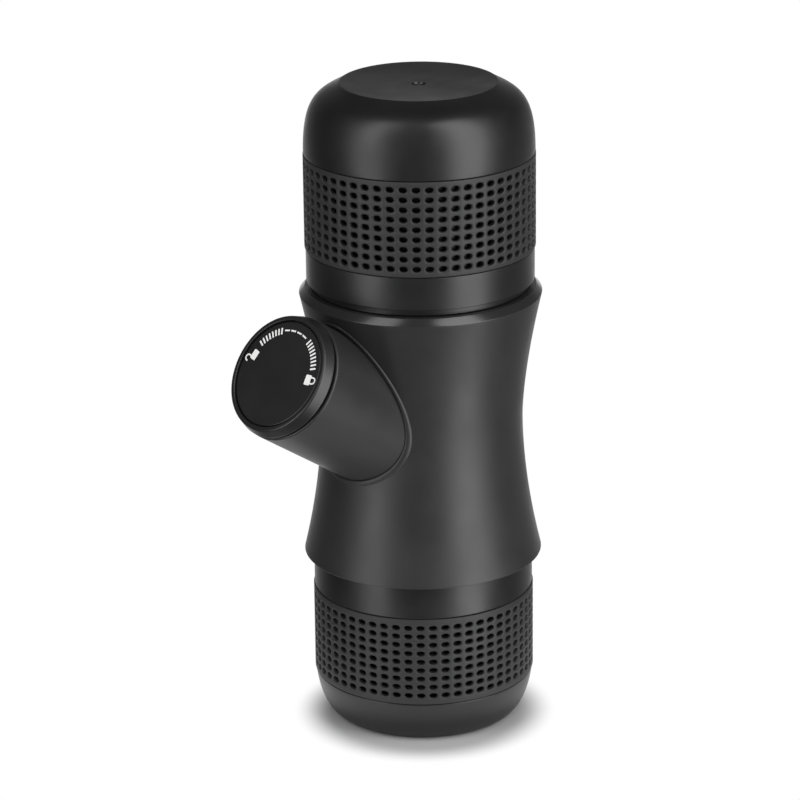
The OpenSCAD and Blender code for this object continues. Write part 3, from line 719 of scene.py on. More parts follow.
@dataclass
class WaterTank:
    """The beaker that the maker stands on, with its screw neck."""

    sink: float = 1.0 * MM
    base_radius: float = 23.3 * MM
    round_height: float = 16 * MM
    collar_step: float = 0.25 * MM
    band_thickness: float = 1.2 * MM
    seam: float = 0.14 * MM
    wall: float = 2.2 * MM
    floor: float = 2.6 * MM
    neck_radius: float = 25.6 * MM
    neck_height: float = 9 * MM
    neck_wall: float = 2 * MM
    neck_slope: float = 1 * MM
    base_round: float = 0.5 * MM
    foot_steps: int = 24
    inner_steps: int = 12
    # Corner of the outline, counted from the end of the foot's curve, and its rounding.
    roundings: tuple[tuple[int, float], ...] = (
        (0, 0.2 * MM), (3, 0.25 * MM), (4, 0.4 * MM), (5, 0.5 * MM), (6, 0.4 * MM), (7, 0.4 * MM))

    def __post_init__(self) -> None:
        """Reads the tank's place from its nodes."""
        self.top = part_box("water_tank")[1].z
        low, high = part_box("tank_grip_band")
        self.band_low, self.band_high, self.radius = low.z, high.z, high.x
        self.shoulder = self.top - self.neck_height

    def foot_radius(self, height: float) -> float:
        """Works out how wide the foot, a quarter of an ellipse, is at a height.

        Args:
            height: The height.

        Returns:
            The radius there.
        """
        if height >= self.round_height:
            return self.radius
        share = 1 - height / self.round_height
        return self.base_radius + (self.radius - self.base_radius) * math.sqrt(1 - share * share)

    def outline(self) -> Outline:
        """Goes round the tank's whole section, from the middle of its base up outside and down inside.

        Returns:
            Points of radius and height.
        """
        under_band = self.radius - self.band_thickness
        seat, bore = under_band - self.sink, under_band - self.wall
        collar, band_foot = self.radius - self.collar_step, self.band_low - self.seam
        band_end, throat = self.band_high + self.seam, self.neck_radius - self.neck_wall
        rise = (band_foot * (k / self.foot_steps) ** 2 for k in range(self.foot_steps + 1))
        foot = [(self.foot_radius(z), z) for z in rise]
        rounded = {len(foot) + corner: radius for corner, radius in self.roundings}
        outside = fillet([
            (0.0, 0.0), *foot, (seat, band_foot), (seat, band_end), (collar, band_end),
            (collar, self.shoulder), (self.neck_radius, self.shoulder), (self.neck_radius, self.top),
            (throat, self.top), (throat, self.shoulder - self.wall),
            (bore, self.shoulder - 2 * self.wall - self.neck_slope)], {1: self.base_round, **rounded})
        tall, last = self.round_height - self.floor, self.inner_steps
        heights = [self.floor + tall * (k / last) ** 2 for k in range(last + 1)]
        inside = [(self.foot_radius(z) - self.wall - self.band_thickness, z) for z in reversed(heights)]
        return with_supports([*outside, *inside, (0.0, self.floor)])

    def build(self) -> None:
        """Makes the tank."""
        tank = turned("tank_beaker", self.outline(), segments=256)
        place(tank, "water_tank", Finishes.SATIN_BLACK, ["water_tank"])


# ---- Pump body ----


@dataclass
class PumpBody:
    """The waisted shell and the slanted sleeve that stands out of it."""

    low_radius: float = 31.9 * MM
    high_radius: float = 32.1 * MM
    waist_radius: float = 26.9 * MM
    waist_up: float = 38 * MM
    low_flare: float = 1.85
    high_flare: float = 1.55
    bevel_w: float = 1.6 * MM
    bevel_h: float = 1.8 * MM
    wall: float = 2.4 * MM
    mouth_radius: float = 23.65 * MM
    sleeve_radius: float = 16.64 * MM
    sleeve_bore: float = 14.5 * MM
    sleeve_hole: float = 8.55 * MM
    sleeve_reach: float = 56.4 * MM
    sleeve_floor_at: float = 16 * MM
    sleeve_floor: float = 2.5 * MM
    sleeve_round: float = 0.55 * MM
    sleeve_snug: float = 0.05 * MM
    ring_seat: float = 15.6 * MM
    ring_at: float = 49.8 * MM
    ring_round: float = 0.2 * MM
    flare_steps: int = 96
    # Roundings of the shell's foot, of both edges of the bevel and of the mouth.
    shell_rounds: tuple[float, float, float, float] = (0.25 * MM, 0.35 * MM, 0.35 * MM, 0.3 * MM)
    # Width, height, depth under the shell and distance from the sleeve of the bead, and how full it is.
    bead_w: float = 1.2 * MM
    bead_h: float = 0.5 * MM
    bead_root: float = 0.6 * MM
    bead_snug: float = 0.02 * MM
    bead_fullness: float = 0.8
    # A length along the pump's axis that ends well outside the shell.
    far_out: float = 80 * MM

    def __post_init__(self) -> None:
        """Reads the body's place from its node and the pump's axis from the knob's joint."""
        low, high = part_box("body_shell")
        self.low, self.top = low.z, high.z
        self.waist = self.low + self.waist_up
        self.lip = self.top - self.bevel_h
        joint = next(j for j in frame["joints"] if j["name"] == "knob_turn")
        axis = Vector(joint["axis"]).normalized()
        across = Vector((0, 1, 0))
        lean = Matrix((across.cross(axis), across, axis)).transposed().to_4x4()
        self.pump = Matrix.Translation(joint["pos_m"]) @ lean

    def radius_at(self, height: float) -> float:
        """Works out how wide the hourglass is at a height.

        Args:
            height: The height.

        Returns:
            The radius there.
        """
        if height < self.waist:
            share = (self.waist - height) / (self.waist - self.low)
            return self.waist_radius + (self.low_radius - self.waist_radius) * share ** self.low_flare
        share = min(1.0, (height - self.waist) / (self.lip - self.waist))
        return self.waist_radius + (self.high_radius - self.waist_radius) * share ** self.high_flare

    def flare_tree(self) -> bpy.types.NodeTree:
        """Builds the tree that flares a straight tube into the hourglass.

        Returns:
            A tree with the waist, both ends and both flares as inputs.
        """
        tree, start = new_geometry_tree("hourglass_flare", {
            "Waist Radius": "NodeSocketFloat", "Waist Height": "NodeSocketFloat",
            "Low Radius": "NodeSocketFloat", "Low Height": "NodeSocketFloat",
            "Low Flare": "NodeSocketFloat", "High Radius": "NodeSocketFloat",
            "High Height": "NodeSocketFloat", "High Flare": "NodeSocketFloat",
            "Material": "NodeSocketMaterial"})
        inputs = start.outputs
        spot = add_node(tree, "GeometryNodeInputPosition").outputs[0]
        height = add_node(tree, "ShaderNodeSeparateXYZ", {0: spot}).outputs["Z"]
        growths = []
        for side in ("Low", "High"):
            share = add_node(tree, "ShaderNodeMapRange", {
                "Value": height, "From Min": inputs["Waist Height"], "From Max": inputs[f"{side} Height"]})
            power = add_node(tree, "ShaderNodeMath", {
                0: share.outputs["Result"], 1: inputs[f"{side} Flare"]}, operation="POWER")
            full = add_node(tree, "ShaderNodeMath", {
                0: inputs[f"{side} Radius"], 1: inputs["Waist Radius"]}, operation="SUBTRACT")
            growths.append(add_node(tree, "ShaderNodeMath", {
                0: power.outputs[0], 1: full.outputs[0]}, operation="MULTIPLY").outputs[0])
        growth = add_node(tree, "ShaderNodeMath", {0: growths[0], 1: growths[1]}, operation="ADD")
        level = add_node(tree, "ShaderNodeVectorMath", {0: spot, 1: (1, 1, 0)}, operation="MULTIPLY")
        outward = add_node(tree, "ShaderNodeVectorMath", {0: level.outputs[0]}, operation="NORMALIZE")
        push = add_node(tree, "ShaderNodeVectorMath", {
            0: outward.outputs[0], "Scale": growth.outputs[0]}, operation="SCALE")
        flared = add_node(tree, "GeometryNodeSetPosition", {
            "Geometry": inputs["Geometry"], "Offset": push.outputs[0]})
        end_geometry_tree(tree, flared.outputs[0], inputs["Material"])
        return tree

    def tube_outline(self) -> Outline:
        """Goes round the shell's section before it is flared: a straight tube at the waist's radius.

        Returns:
            Points of radius and height.
        """
        waist, inner, last = self.waist_radius, self.waist_radius - self.wall, self.flare_steps
        rise = [self.low + (self.lip - self.low) * k / last for k in range(last + 1)]
        mouth = self.mouth_radius - (self.high_radius - waist)
        under = self.top - self.wall
        outside = [(waist, z) for z in rise]
        inside = [(inner, z) for z in reversed(rise[:-2:2])]
        corners = [(waist - self.bevel_w, self.top), (mouth, self.top), (mouth, under)]
        rounded = dict(zip((0, last, last + 1, last + 2), self.shell_rounds))
        return fillet([*outside, *corners, *inside], rounded)

    def cut(self, piece: bpy.types.Object, cutter: bpy.types.Object) -> None:
        """Cuts one closed mesh out of another and keeps the result as a plain mesh.

        Args:
            piece: The mesh that is cut.
            cutter: The mesh taken away, removed afterwards.
        """
        modifier = piece.modifiers.new("cut", "BOOLEAN")
        modifier.operation = "DIFFERENCE"
        modifier.solver = "EXACT"
        modifier.object = cutter
        shown = piece.evaluated_get(bpy.context.evaluated_depsgraph_get())
        result = bpy.data.meshes.new_from_object(shown)
        piece.modifiers.remove(modifier)
        piece.data = result
        bpy.data.objects.remove(cutter)

    def build_shell(self) -> None:
        """Makes the shell with the opening for the sleeve."""
        shell = turned("pump_body_shell", self.tube_outline(), segments=288)
        plastic = replace(
            Finishes.BODY_BLACK.value, name="moulded_plastic_polished_lip", polish_above=self.lip)
        run_geometry_nodes(shell, self.flare_tree(), {
            "Waist Radius": self.waist_radius, "Waist Height": self.waist,
            "Low Radius": self.low_radius, "Low Height": self.low, "Low Flare": self.low_flare,
            "High Radius": self.high_radius, "High Height": self.lip, "High Flare": self.high_flare,
            "Material": plastic.make()})
        snug = self.sleeve_radius + self.sleeve_snug
        hole = turned("sleeve_hole", [
            (0.0, self.sleeve_floor_at), (snug, self.sleeve_floor_at), (snug, self.sleeve_reach),
            (0.0, self.sleeve_reach)])
        hole.data.transform(self.pump)
        self.cut(shell, hole)
        shell.data.set_sharp_from_angle(angle=math.radians(CREASE))
        place(shell, "main_body", stands_for=["body_shell"])

    def meet(self, around: float, distance: float, out: float) -> Vector:
        """Finds, by halving, the point where a line along the pump's axis leaves the hourglass.

        Args:
            around: Angle about the pump's axis.
            distance: Distance of the line from that axis.
            out: How far outside the hourglass the point lies.

        Returns:
            The point in the maker's frame.
        """
        near, far, halvings = 0.0, self.far_out, 40
        for _ in range(halvings):
            reach = (near + far) / 2
            spot = self.pump @ Vector((distance * math.cos(around), distance * math.sin(around), reach))
            if math.hypot(spot.x, spot.y) > self.radius_at(spot.z) + out:
                far = reach
            else:
                near = reach
        return spot

    def build_bead(self) -> None:
        """Makes the raised bead where the sleeve leaves the body."""
        mesh = bmesh.new()
        steps, sides = 240, 10
        inner, half = self.sleeve_radius + self.bead_snug, self.bead_w / 2
        section = []
        for k in range(sides + 1):
            angle = math.pi * k / sides
            out = self.sleeve_radius + half - half * math.cos(angle)
            section.append((max(inner, out), self.bead_h * math.sin(angle) ** self.bead_fullness))
        section += [(section[-1][0], -self.bead_root), (inner, -self.bead_root)]
        rings = []
        for step in range(steps):
            around = 2 * math.pi * step / steps
            rings.append([mesh.verts.new(self.meet(around, r, h)) for r, h in section])
        for ring, following in zip(rings, rings[1:] + rings[:1]):
            for k in range(len(section)):
                j = (k + 1) % len(section)
                mesh.faces.new((ring[k], ring[j], following[j], following[k]))
        bead = finish_mesh("sleeve_bead", mesh, crease=60)
        place(bead, "main_body", Finishes.BODY_BLACK)

    def build_sleeve(self) -> None:
        """Makes the barrel that the knob slides in."""
        start, reach = self.sleeve_floor_at - self.sleeve_floor, self.sleeve_reach
        outline = fillet([
            (self.sleeve_hole, start), (self.sleeve_radius, start), (self.sleeve_radius, reach),
            (self.ring_seat, reach), (self.ring_seat, self.ring_at), (self.sleeve_bore, self.ring_at),
            (self.sleeve_bore, self.sleeve_floor_at), (self.sleeve_hole, self.sleeve_floor_at)],
            {2: self.sleeve_round, 3: self.ring_round})
        sleeve = turned("knob_sleeve", with_supports(outline))
        sleeve.data.transform(self.pump)
        place(sleeve, "main_body", Finishes.BODY_BLACK, ["piston_sleeve"])

    def build(self) -> None:
        """Makes the shell, the bead and the sleeve."""
        self.build_shell()
        self.build_bead()
        self.build_sleeve()


# ---- Knob ----


@dataclass
class Knob:
    """The round cap in the palm, its inlaid disc and the marks on it."""

    pump: Matrix
    back: float = 56.7 * MM
    height: float = 3.7 * MM
    back_radius: float = 16.6 * MM
    front_radius: float = 15.6 * MM
    disc_radius: float = 14.1 * MM
    disc_gap: float = 0.35 * MM
    disc_depth: float = 1.3 * MM
    disc_sink: float = 0.2 * MM
    disc_round: float = 0.25 * MM
    disc_edge: float = 0.02 * MM
    # Rings of the disc's crowned face, as shares of its radius.
    disc_rings: tuple[float, ...] = (0.97, 0.8, 0.55, 0.3, 0.0)
    groove: float = 0.6 * MM
    groove_depth: float = 1.2 * MM
    # Roundings of the cap behind, in front and round the disc.
    cap_rounds: tuple[float, float, float] = (0.2 * MM, 0.45 * MM, 0.2 * MM)
    crown: float = 0.15 * MM
    mark_radius: float = 11.7 * MM
    # Half the ink's thickness, since the marks reach as far into the disc as out of it.
    ink: float = 0.03 * MM
    # Size of a tick and of a dash, outward and along the arc of marks.
    tick: tuple[float, float] = (1.8 * MM, 0.48 * MM)
    dash: tuple[float, float] = (0.42 * MM, 1.7 * MM)
    # Number of marks, and where about the pump's axis they start and how far they step, in degrees.
    open_ticks: tuple[int, float, float] = (8, 59, -5)
    dashes: tuple[int, float, float] = (4, 15, -11)
    closed_ticks: tuple[int, float, float] = (9, -30, -5)
    open_lock_at: float = 76.0
    open_swing: float = 1.6 * MM
    closed_lock_at: float = -85.0
    # A padlock's case: its half width along the arc, how far in and out it reaches, and its rounding.
    case: tuple[float, float, float, float] = (1.35 * MM, -1.75 * MM, 0.2 * MM, 0.3 * MM)
    # Its bow: how far out its middle lies, outer and inner radius, how deep it stands in the case, and
    # how far one leg comes out when it is open.
    bow: tuple[float, float, float, float, float] = (0.85 * MM, 1.0 * MM, 0.6 * MM, 0.05 * MM, 0.3 * MM)
    bow_steps: int = 10

    def __post_init__(self) -> None:
        """Works out the faces from the sizes."""
        self.front = self.back + self.height
        self.disc_face = self.front - self.disc_sink

    def build_cap(self) -> None:
        """Makes the cap with its rim."""
        recess = self.disc_radius + self.disc_gap
        floor = self.front - self.disc_depth
        groove, hub = self.back + self.groove, self.back_radius - self.groove_depth
        outline = fillet([
            (0.0, self.back), (hub, self.back), (hub, groove), (self.back_radius, groove),
            (self.front_radius, self.front), (recess, self.front), (recess, floor), (0.0, floor)],
            dict(zip((3, 4, 5), self.cap_rounds)))
        cap = turned("knob_rim", with_supports(outline))
        cap.data.transform(self.pump)
        place(cap, "knob", Finishes.KNOB_BLACK, ["knob_cap"])

    def build_disc(self) -> None:
        """Makes the inlaid disc with its rounded edge."""
        floor = self.front - self.disc_depth
        radii = (self.disc_radius * share for share in self.disc_rings)
        face = [(radius, self.face_at(radius)) for radius in radii]
        outline = fillet([
            (0.0, floor), (self.disc_radius, floor), (self.disc_radius, face[0][1] - self.disc_edge), *face],
            {2: self.disc_round})
        disc = turned("knob_inlay", with_supports(outline))
        disc.data.transform(self.pump)
        place(disc, "knob", Finishes.DISC_BLACK, ["knob_disc"])

    def face_at(self, radius: float) -> float:
        """Height of the disc's crowned face at a radius."""
        return self.disc_face - self.crown * (radius / self.disc_radius) ** 2

    def print_shape(self, mesh: bmesh.types.BMesh, outline: Outline, turn: float | None = None) -> None:
        """Adds one printed shape, a thin closed slab on the crowned face.

        Args:
            mesh: The mesh that gets it.
            outline: Points as distance outward from the arc of marks and distance along it.
            turn: Angle of the shape about the pump's axis, 0 upwards, or None to leave it at the middle.
        """
        spots = [Vector((self.mark_radius + out, along)) for out, along in outline]
        shift = Vector((self.mark_radius if turn is None else 0.0, 0.0))
        spin = Matrix.Rotation(turn or 0.0, 2)
        top, bottom = (
            [mesh.verts.new((*(spin @ spot - shift), self.face_at(spot.length) + up)) for spot in spots]
            for up in (self.ink, -self.ink))
        mesh.faces.new(top)
        mesh.faces.new(bottom[::-1])
        for k in range(len(spots)):
            j = (k + 1) % len(spots)
            mesh.faces.new((top[j], top[k], bottom[k], bottom[j]))

    def padlock(self, mesh: bmesh.types.BMesh, at: float, swing: float) -> None:
        """Adds a padlock.

        Args:
            mesh: The mesh that gets it.
            at: Its angle about the pump's axis in degrees, 0 upwards.
            swing: How far the bow stands aside, 0 when it is shut.
        """
        half_w, low, high, turn = self.case
        bow_at, wide, narrow, sunk, lift = self.bow
        case = fillet([(low, -half_w), (high, -half_w), (high, half_w), (low, half_w)],
                      dict.fromkeys(range(4), turn), steps=3)
        arc = [math.pi * k / self.bow_steps for k in range(self.bow_steps + 1)]
        outer = [(bow_at + wide * math.sin(a), swing + wide * math.cos(a)) for a in arc]
        inner = [(bow_at + narrow * math.sin(a), swing + narrow * math.cos(a)) for a in reversed(arc)]
        foot = high - sunk
        lifted = foot + (lift if swing else 0.0)
        bow = [(lifted, swing + wide), *outer, (foot, swing - wide), (foot, swing - narrow), *inner,
               (lifted, swing + narrow)]
        for outline in (case, bow):
            self.print_shape(mesh, outline, math.radians(at))

    def arc_tree(self) -> bpy.types.NodeTree:
        """Builds the tree that repeats one mark along an arc about Z.

        Returns:
            A tree with the number of marks, their radius, the first angle and the step as inputs.
        """
        tree, start = new_geometry_tree("marks_along_arc", {
            "Count": "NodeSocketInt", "Radius": "NodeSocketFloat", "Start": "NodeSocketFloat",
            "Step": "NodeSocketFloat", "Material": "NodeSocketMaterial"})
        inputs = start.outputs
        spots = add_node(tree, "GeometryNodeMeshLine", {"Count": inputs["Count"], "Offset": (0, 0, 0)})
        number = add_node(tree, "GeometryNodeInputIndex").outputs[0]
        angle = add_node(tree, "ShaderNodeMath", {
            0: number, 1: inputs["Step"], 2: inputs["Start"]}, operation="MULTIPLY_ADD").outputs[0]
        spin = add_node(tree, "ShaderNodeCombineXYZ", {"Z": angle}).outputs[0]
        reach = add_node(tree, "ShaderNodeCombineXYZ", {"X": inputs["Radius"]}).outputs[0]
        spot = add_node(tree, "ShaderNodeVectorRotate", {
            "Vector": reach, "Angle": angle}, rotation_type="Z_AXIS").outputs[0]
        spread = add_node(tree, "GeometryNodeSetPosition", {
            "Geometry": spots.outputs["Mesh"], "Position": spot})
        turning = add_node(tree, "FunctionNodeEulerToRotation", {0: spin})
        copies = add_node(tree, "GeometryNodeInstanceOnPoints", {
            "Points": spread.outputs[0], "Instance": inputs["Geometry"], "Rotation": turning.outputs[0]})
        end_geometry_tree(tree, copies.outputs[0], inputs["Material"])
        return tree

    def build_marks(self) -> None:
        """Prints an open and a closed padlock on the disc, with ticks and dashes between them."""
        marks = bmesh.new()
        self.padlock(marks, self.open_lock_at, self.open_swing)
        self.padlock(marks, self.closed_lock_at, 0.0)
        tree = self.arc_tree()
        for (long, wide), (count, first, step) in (
                (self.tick, self.open_ticks), (self.dash, self.dashes), (self.tick, self.closed_ticks)):
            mark = bmesh.new()
            self.print_shape(mark, [
                (-long / 2, -wide / 2), (long / 2, -wide / 2), (long / 2, wide / 2), (-long / 2, wide / 2)])
            row = finish_mesh("mark_row", mark)
            run_geometry_nodes(row, tree, {
                "Count": count, "Radius": self.mark_radius, "Start": math.radians(first),
                "Step": math.radians(step), "Material": Finishes.WHITE_INK.value.make()})
            marks.from_mesh(row.data)
            bpy.data.objects.remove(row)
        printed = finish_mesh("knob_marks", marks)
        printed.data.transform(self.pump)
        place(printed, "knob", Finishes.WHITE_INK)

    def build(self) -> None:
        """Makes the cap, the disc and its marks."""
        self.build_cap()
        self.build_disc()
        self.build_marks()


# ---- Nodes that stay ----

STAYING = {
    Finishes.SATIN_BLACK: ("outlet_head", "scoop", "plunger"),
    Finishes.NYLON_GREY: ("tank_socket", "pump_block", "brew_chamber", "sleeve_ring", "rod_guide",
                          "inlet_poppet", "outlet_poppet", "outlet_cage", "piston_head", "screen_nut"),
    Finishes.SILICONE_RED: ("tank_seal", "riser_seal", "inlet_seat", "outlet_seat", "piston_seals",
                            "basket_gasket", "head_seal", "cup_ring"),
    Finishes.STAINLESS: ("inlet_strainer", "socket_screws", "chamber_screws", "piston_spring",
                         "inlet_spring", "outlet_spring", "piston_rod", "rod_clip", "knob_screws",
                         "filter_basket", "head_screen"),
}


def dress_nodes() -> None:
    """Gives the nodes that stay their finish."""
    for finish, names in STAYING.items():
        for name in names:
            node = frame["nodes"][name]
            node.data.materials.clear()
            node.data.materials.append(finish.value.make())


# ---- Studio ----


@dataclass
class Studio:
    """Pale floor, soft lamps, black cloth and the camera."""

    # The camera's angles are in degrees, and its turn goes from -Y towards -X.
    camera_distance: float = 986 * MM
    camera_tilt: float = 19.435
    camera_turn: float = 43.2
    camera_roll: float = 0.565
    camera_yaw: float = 0.3354
    aim_height: float = 87.5 * MM
    lens: float = 166.5
    lamp_height: float = 0.3
    lamp_distance: float = 0.8
    # Name, degrees to the right of the camera, width, height and watts of each softbox.
    softboxes: tuple[tuple[str, float, float, float, float], ...] = (
        ("right_softbox", 50, 0.58, 2.4, 14.5),
        ("left_softbox", -51, 0.38, 2.4, 7.6),
    )
    floor_radius: float = 70 * MM
    # Linear grey of the floor's paint by the foot. Being darker than the white round it, it is painted
    # shadow, and the lamps' real shadow falls on it as well.
    painted_shadow_grey: float = 0.5
    # Where the floor's grey paint starts and ends to fade into white, round a point this far towards the
    # camera: this fade paints the outline of the shadow at the foot.
    painted_shadow_reach: tuple[float, float] = (25 * MM, 36 * MM)
    painted_shadow_shift: float = 5 * MM
    cloth_radius: float = 1.5
    cloth_shade: float = 0.06
    # Half-width in degrees of the opening in the cloth.
    window: float = 28.0
    fill: float = 0.25
    # Azimuth, elevation, inner and outer half-width in degrees, and strength of the cloth's paler cards.
    cards: tuple[tuple[float, float, float, float, float], ...] = (
        (0, -16, 18, 34, 0.05),
        (180, -19, 26, 62, 0.28),
        (124, -10, 12, 34, 0.1),
    )

    def build_camera(self) -> None:
        """Places the camera at the photograph's angle, knob to the left."""
        data = bpy.data.cameras.new("studio_camera")
        data.lens = self.lens
        data.sensor_width = 36.0
        data.clip_start = 0.05
        camera = bpy.data.objects.new("studio_camera", data)
        bpy.context.scene.collection.objects.link(camera)
        tilt, turn = math.radians(self.camera_tilt), math.radians(self.camera_turn)
        back = Vector((-math.sin(turn) * math.cos(tilt), -math.cos(turn) * math.cos(tilt), math.sin(tilt)))
        upright = Matrix.Rotation(-turn, 4, "Z") @ Matrix.Rotation(math.pi / 2 - tilt, 4, "X")
        aside = Matrix.Rotation(math.radians(self.camera_yaw), 4, "Y")
        roll = Matrix.Rotation(math.radians(-self.camera_roll), 4, "Z")
        place_at = Matrix.Translation(Vector((0, 0, self.aim_height)) + back * self.camera_distance)
        camera.matrix_world = place_at @ upright @ roll @ aside
        bpy.context.scene.camera = camera

    def build_softbox(self, name: str, azimuth: float, width: float, height: float, power: float) -> None:
        """Hangs one rectangular lamp that faces the maker.

        Args:
            name: Name of the lamp.
            azimuth: Degrees to the right of the camera, seen from the maker.
            width: Its width.
            height: Its height.
            power: Power in watts.
        """
        data = bpy.data.lights.new(name, "AREA")
        data.shape = "RECTANGLE"
        data.size, data.size_y = width, height
        data.energy = power
        lamp = bpy.data.objects.new(name, data)
        bpy.context.scene.collection.objects.link(lamp)
        spot = self.toward(azimuth, 0) * self.lamp_distance
        spot.z = self.lamp_height
        aim = Vector((0, 0, self.aim_height)) - spot
        lamp.location = spot
        lamp.rotation_euler = aim.to_track_quat("-Z", "Y").to_euler()

    def toward(self, azimuth: float, elevation: float) -> Vector:
        """Direction from the maker.

        Args:
            azimuth: Degrees to the right of the camera, 180 straight behind the maker.
            elevation: Degrees above the horizon.

        Returns:
            The unit vector.
        """
        turn, rise = math.radians(-90 - self.camera_turn + azimuth), math.radians(elevation)
        return Vector((math.cos(rise) * math.cos(turn), math.cos(rise) * math.sin(turn), math.sin(rise)))

    def seen_rays(self, tree: bpy.types.NodeTree) -> bpy.types.NodeSocket:
        """Adds the nodes that tell the camera's, the reflected and the refracted rays from the light's.

        Args:
            tree: The tree that gets them.

        Returns:
            A socket that is 1 for those rays and 0 for diffuse ones.
        """
        ray = add_node(tree, "ShaderNodeLightPath").outputs
        mirrored = add_node(tree, "ShaderNodeMath", {
            0: ray["Is Camera Ray"], 1: ray["Is Glossy Ray"]}, operation="MAXIMUM")
        return add_node(tree, "ShaderNodeMath", {
            0: mirrored.outputs[0], 1: ray["Is Transmission Ray"]}, operation="MAXIMUM").outputs[0]

    def stage_piece(self, name: str, mesh: bmesh.types.BMesh,
                    material: bpy.types.Material) -> bpy.types.Object:
        """Adds a piece of the studio.

        Args:
            name: Name of the piece.
            mesh: Its faces, freed by this call.
            material: Its material.

        Returns:
            The piece, marked as stage.
        """
        data = bpy.data.meshes.new(name)
        mesh.to_mesh(data)
        mesh.free()
        data.materials.append(material)
        piece = bpy.data.objects.new(name, data)
        bpy.context.scene.collection.objects.link(piece)
        return piece

    def build_floor(self) -> None:
        """Lays the round floor, whose grey paint by the foot takes the lamps' real shadow and fades into the
        white room, so that the shadow's outer part is painted shadow.
        """
        material = bpy.data.materials.new("pale_floor")
        material.use_nodes = True
        tree = material.node_tree
        tree.nodes.clear()
        where = add_node(tree, "ShaderNodeTexCoord").outputs["Object"]
        away = add_node(tree, "ShaderNodeVectorMath", {
            0: where, 1: self.toward(0, 0) * self.painted_shadow_shift}, operation="DISTANCE")
        # Painted shadow: the grey paint fades into white glow round a point shifted towards the camera, which
        # sets how far the shadow seems to reach.
        near, far = self.painted_shadow_reach
        shade = self.painted_shadow_grey
        painted_shadow_fade = add_node(tree, "ShaderNodeMapRange", {
            "Value": away.outputs["Value"], "From Min": near, "From Max": far},
            interpolation_type="SMOOTHSTEP")
        share = add_node(tree, "ShaderNodeMath", {
            0: painted_shadow_fade.outputs["Result"], 1: self.seen_rays(tree)}, operation="MULTIPLY")
        paint = add_node(tree, "ShaderNodeBsdfDiffuse", {"Color": (shade, shade, shade, 1)})
        glow = add_node(tree, "ShaderNodeEmission", {"Color": (1, 1, 1, 1), "Strength": 1.0})
        mixed = add_node(tree, "ShaderNodeMixShader", {
            0: share.outputs[0], 1: paint.outputs[0], 2: glow.outputs[0]})
        add_node(tree, "ShaderNodeOutputMaterial", {"Surface": mixed.outputs[0]})
        mesh = bmesh.new()
        bmesh.ops.create_circle(mesh, cap_ends=True, segments=96, radius=self.floor_radius)
        self.stage_piece("floor", mesh, material)

    def build_cloth(self) -> None:
        """Hangs black cloth all round, with a few paler cards, open where the camera looks past the maker.

        Only reflections see it: the black plastic of the photograph mirrors a dark room.
        """
        material = bpy.data.materials.new("black_cloth")
        material.use_nodes = True
        tree = material.node_tree
        tree.nodes.clear()
        where = add_node(tree, "ShaderNodeTexCoord").outputs["Object"]
        aim = add_node(tree, "ShaderNodeVectorMath", {0: where}, operation="NORMALIZE").outputs["Vector"]
        light: bpy.types.NodeSocket | float = self.cloth_shade
        for azimuth, elevation, inner, outer, strength in self.cards:
            facing = add_node(tree, "ShaderNodeVectorMath", {
                0: aim, 1: self.toward(azimuth, elevation)}, operation="DOT_PRODUCT")
            card = add_node(tree, "ShaderNodeMapRange", {
                "Value": facing.outputs["Value"], "From Min": math.cos(math.radians(outer)),
                "From Max": math.cos(math.radians(inner)), "To Max": strength},
                interpolation_type="SMOOTHSTEP")
            light = add_node(tree, "ShaderNodeMath", {0: light, 1: card.outputs["Result"]}).outputs[0]
        glow = add_node(tree, "ShaderNodeEmission", {"Color": (1, 1, 1, 1), "Strength": light})
        add_node(tree, "ShaderNodeOutputMaterial", {"Surface": glow.outputs[0]})
        mesh = bmesh.new()
        bmesh.ops.create_uvsphere(mesh, u_segments=96, v_segments=64, radius=self.cloth_radius)
        behind = self.toward(180, -self.camera_tilt)
        window = math.cos(math.radians(self.window))
        bmesh.ops.delete(mesh, geom=[
            face for face in mesh.faces if face.calc_center_median().normalized().dot(behind) > window
        ], context="FACES")
        cloth = self.stage_piece("black_cloth", mesh, material)
        cloth.visible_camera = cloth.visible_diffuse = False
        cloth.visible_transmission = cloth.visible_shadow = False

    def build_world(self) -> None:
        """Makes the room: white where it is seen, and a dim fill on the maker."""
        world = bpy.data.worlds.new("studio")
        bpy.context.scene.world = world
        world.use_nodes = True
        tree = world.node_tree
        tree.nodes.clear()
        fill = add_node(tree, "ShaderNodeBackground", {"Color": (1, 1, 1, 1), "Strength": self.fill})
        white = add_node(tree, "ShaderNodeBackground", {"Color": (1, 1, 1, 1), "Strength": 1.0})
        mixed = add_node(tree, "ShaderNodeMixShader", {
            0: self.seen_rays(tree), 1: fill.outputs[0], 2: white.outputs[0]})
        add_node(tree, "ShaderNodeOutputWorld", {"Surface": mixed.outputs[0]})

    def build(self) -> None:
        """Builds the studio round the maker."""
        self.build_camera()
        for softbox in self.softboxes:
            self.build_softbox(*softbox)
        self.build_floor()
        self.build_cloth()
        self.build_world()
        bpy.context.scene.view_settings.view_transform = "Standard"


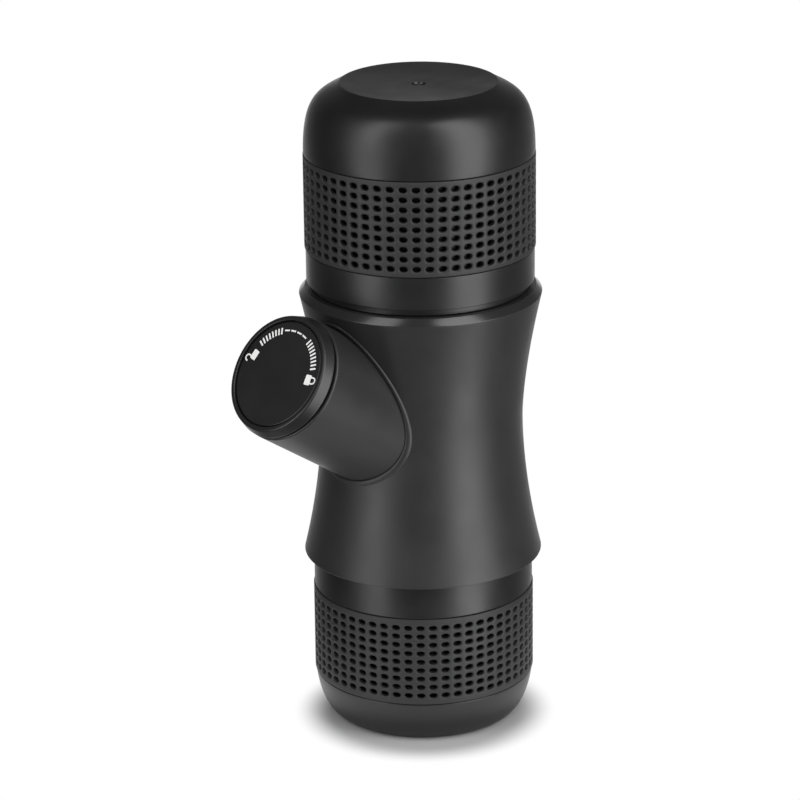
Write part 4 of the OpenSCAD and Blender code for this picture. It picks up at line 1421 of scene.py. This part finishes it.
def main() -> None:
    """Builds the studio, then the maker from the tank up."""
    logging.basicConfig(level=logging.INFO, format="%(message)s")
    Studio().build()
    bands = grip_band_tree()
    tank = WaterTank()
    tank.build()
    GripBand("tank_grip_band", "water_tank", row_pitch=2.42 * MM, hole_half_h=0.78 * MM).build(bands)
    body = PumpBody()
    body.build()
    Knob(pump=body.pump).build()
    Cup().build()
    GripBand("cup_grip_band", "cup", row_pitch=2.62 * MM, hole_half_h=0.83 * MM).build(bands)
    winding = thread_tree()
    tank_neck, head_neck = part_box("water_tank")[1].z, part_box("brew_chamber")[1].z
    ScrewThread("tank_thread", "water_tank", "body_plastic", Finishes.SATIN_BLACK,
                neck_radius=tank.neck_radius, neck_top=tank_neck, drop=7.4 * MM).build(winding)
    ScrewThread("head_thread", "main_body", "inner_plastic", Finishes.NYLON_GREY,
                neck_radius=23.6 * MM, neck_top=head_neck, drop=8 * MM).build(winding)
    dress_nodes()


if __name__ == "__main__":
    main()
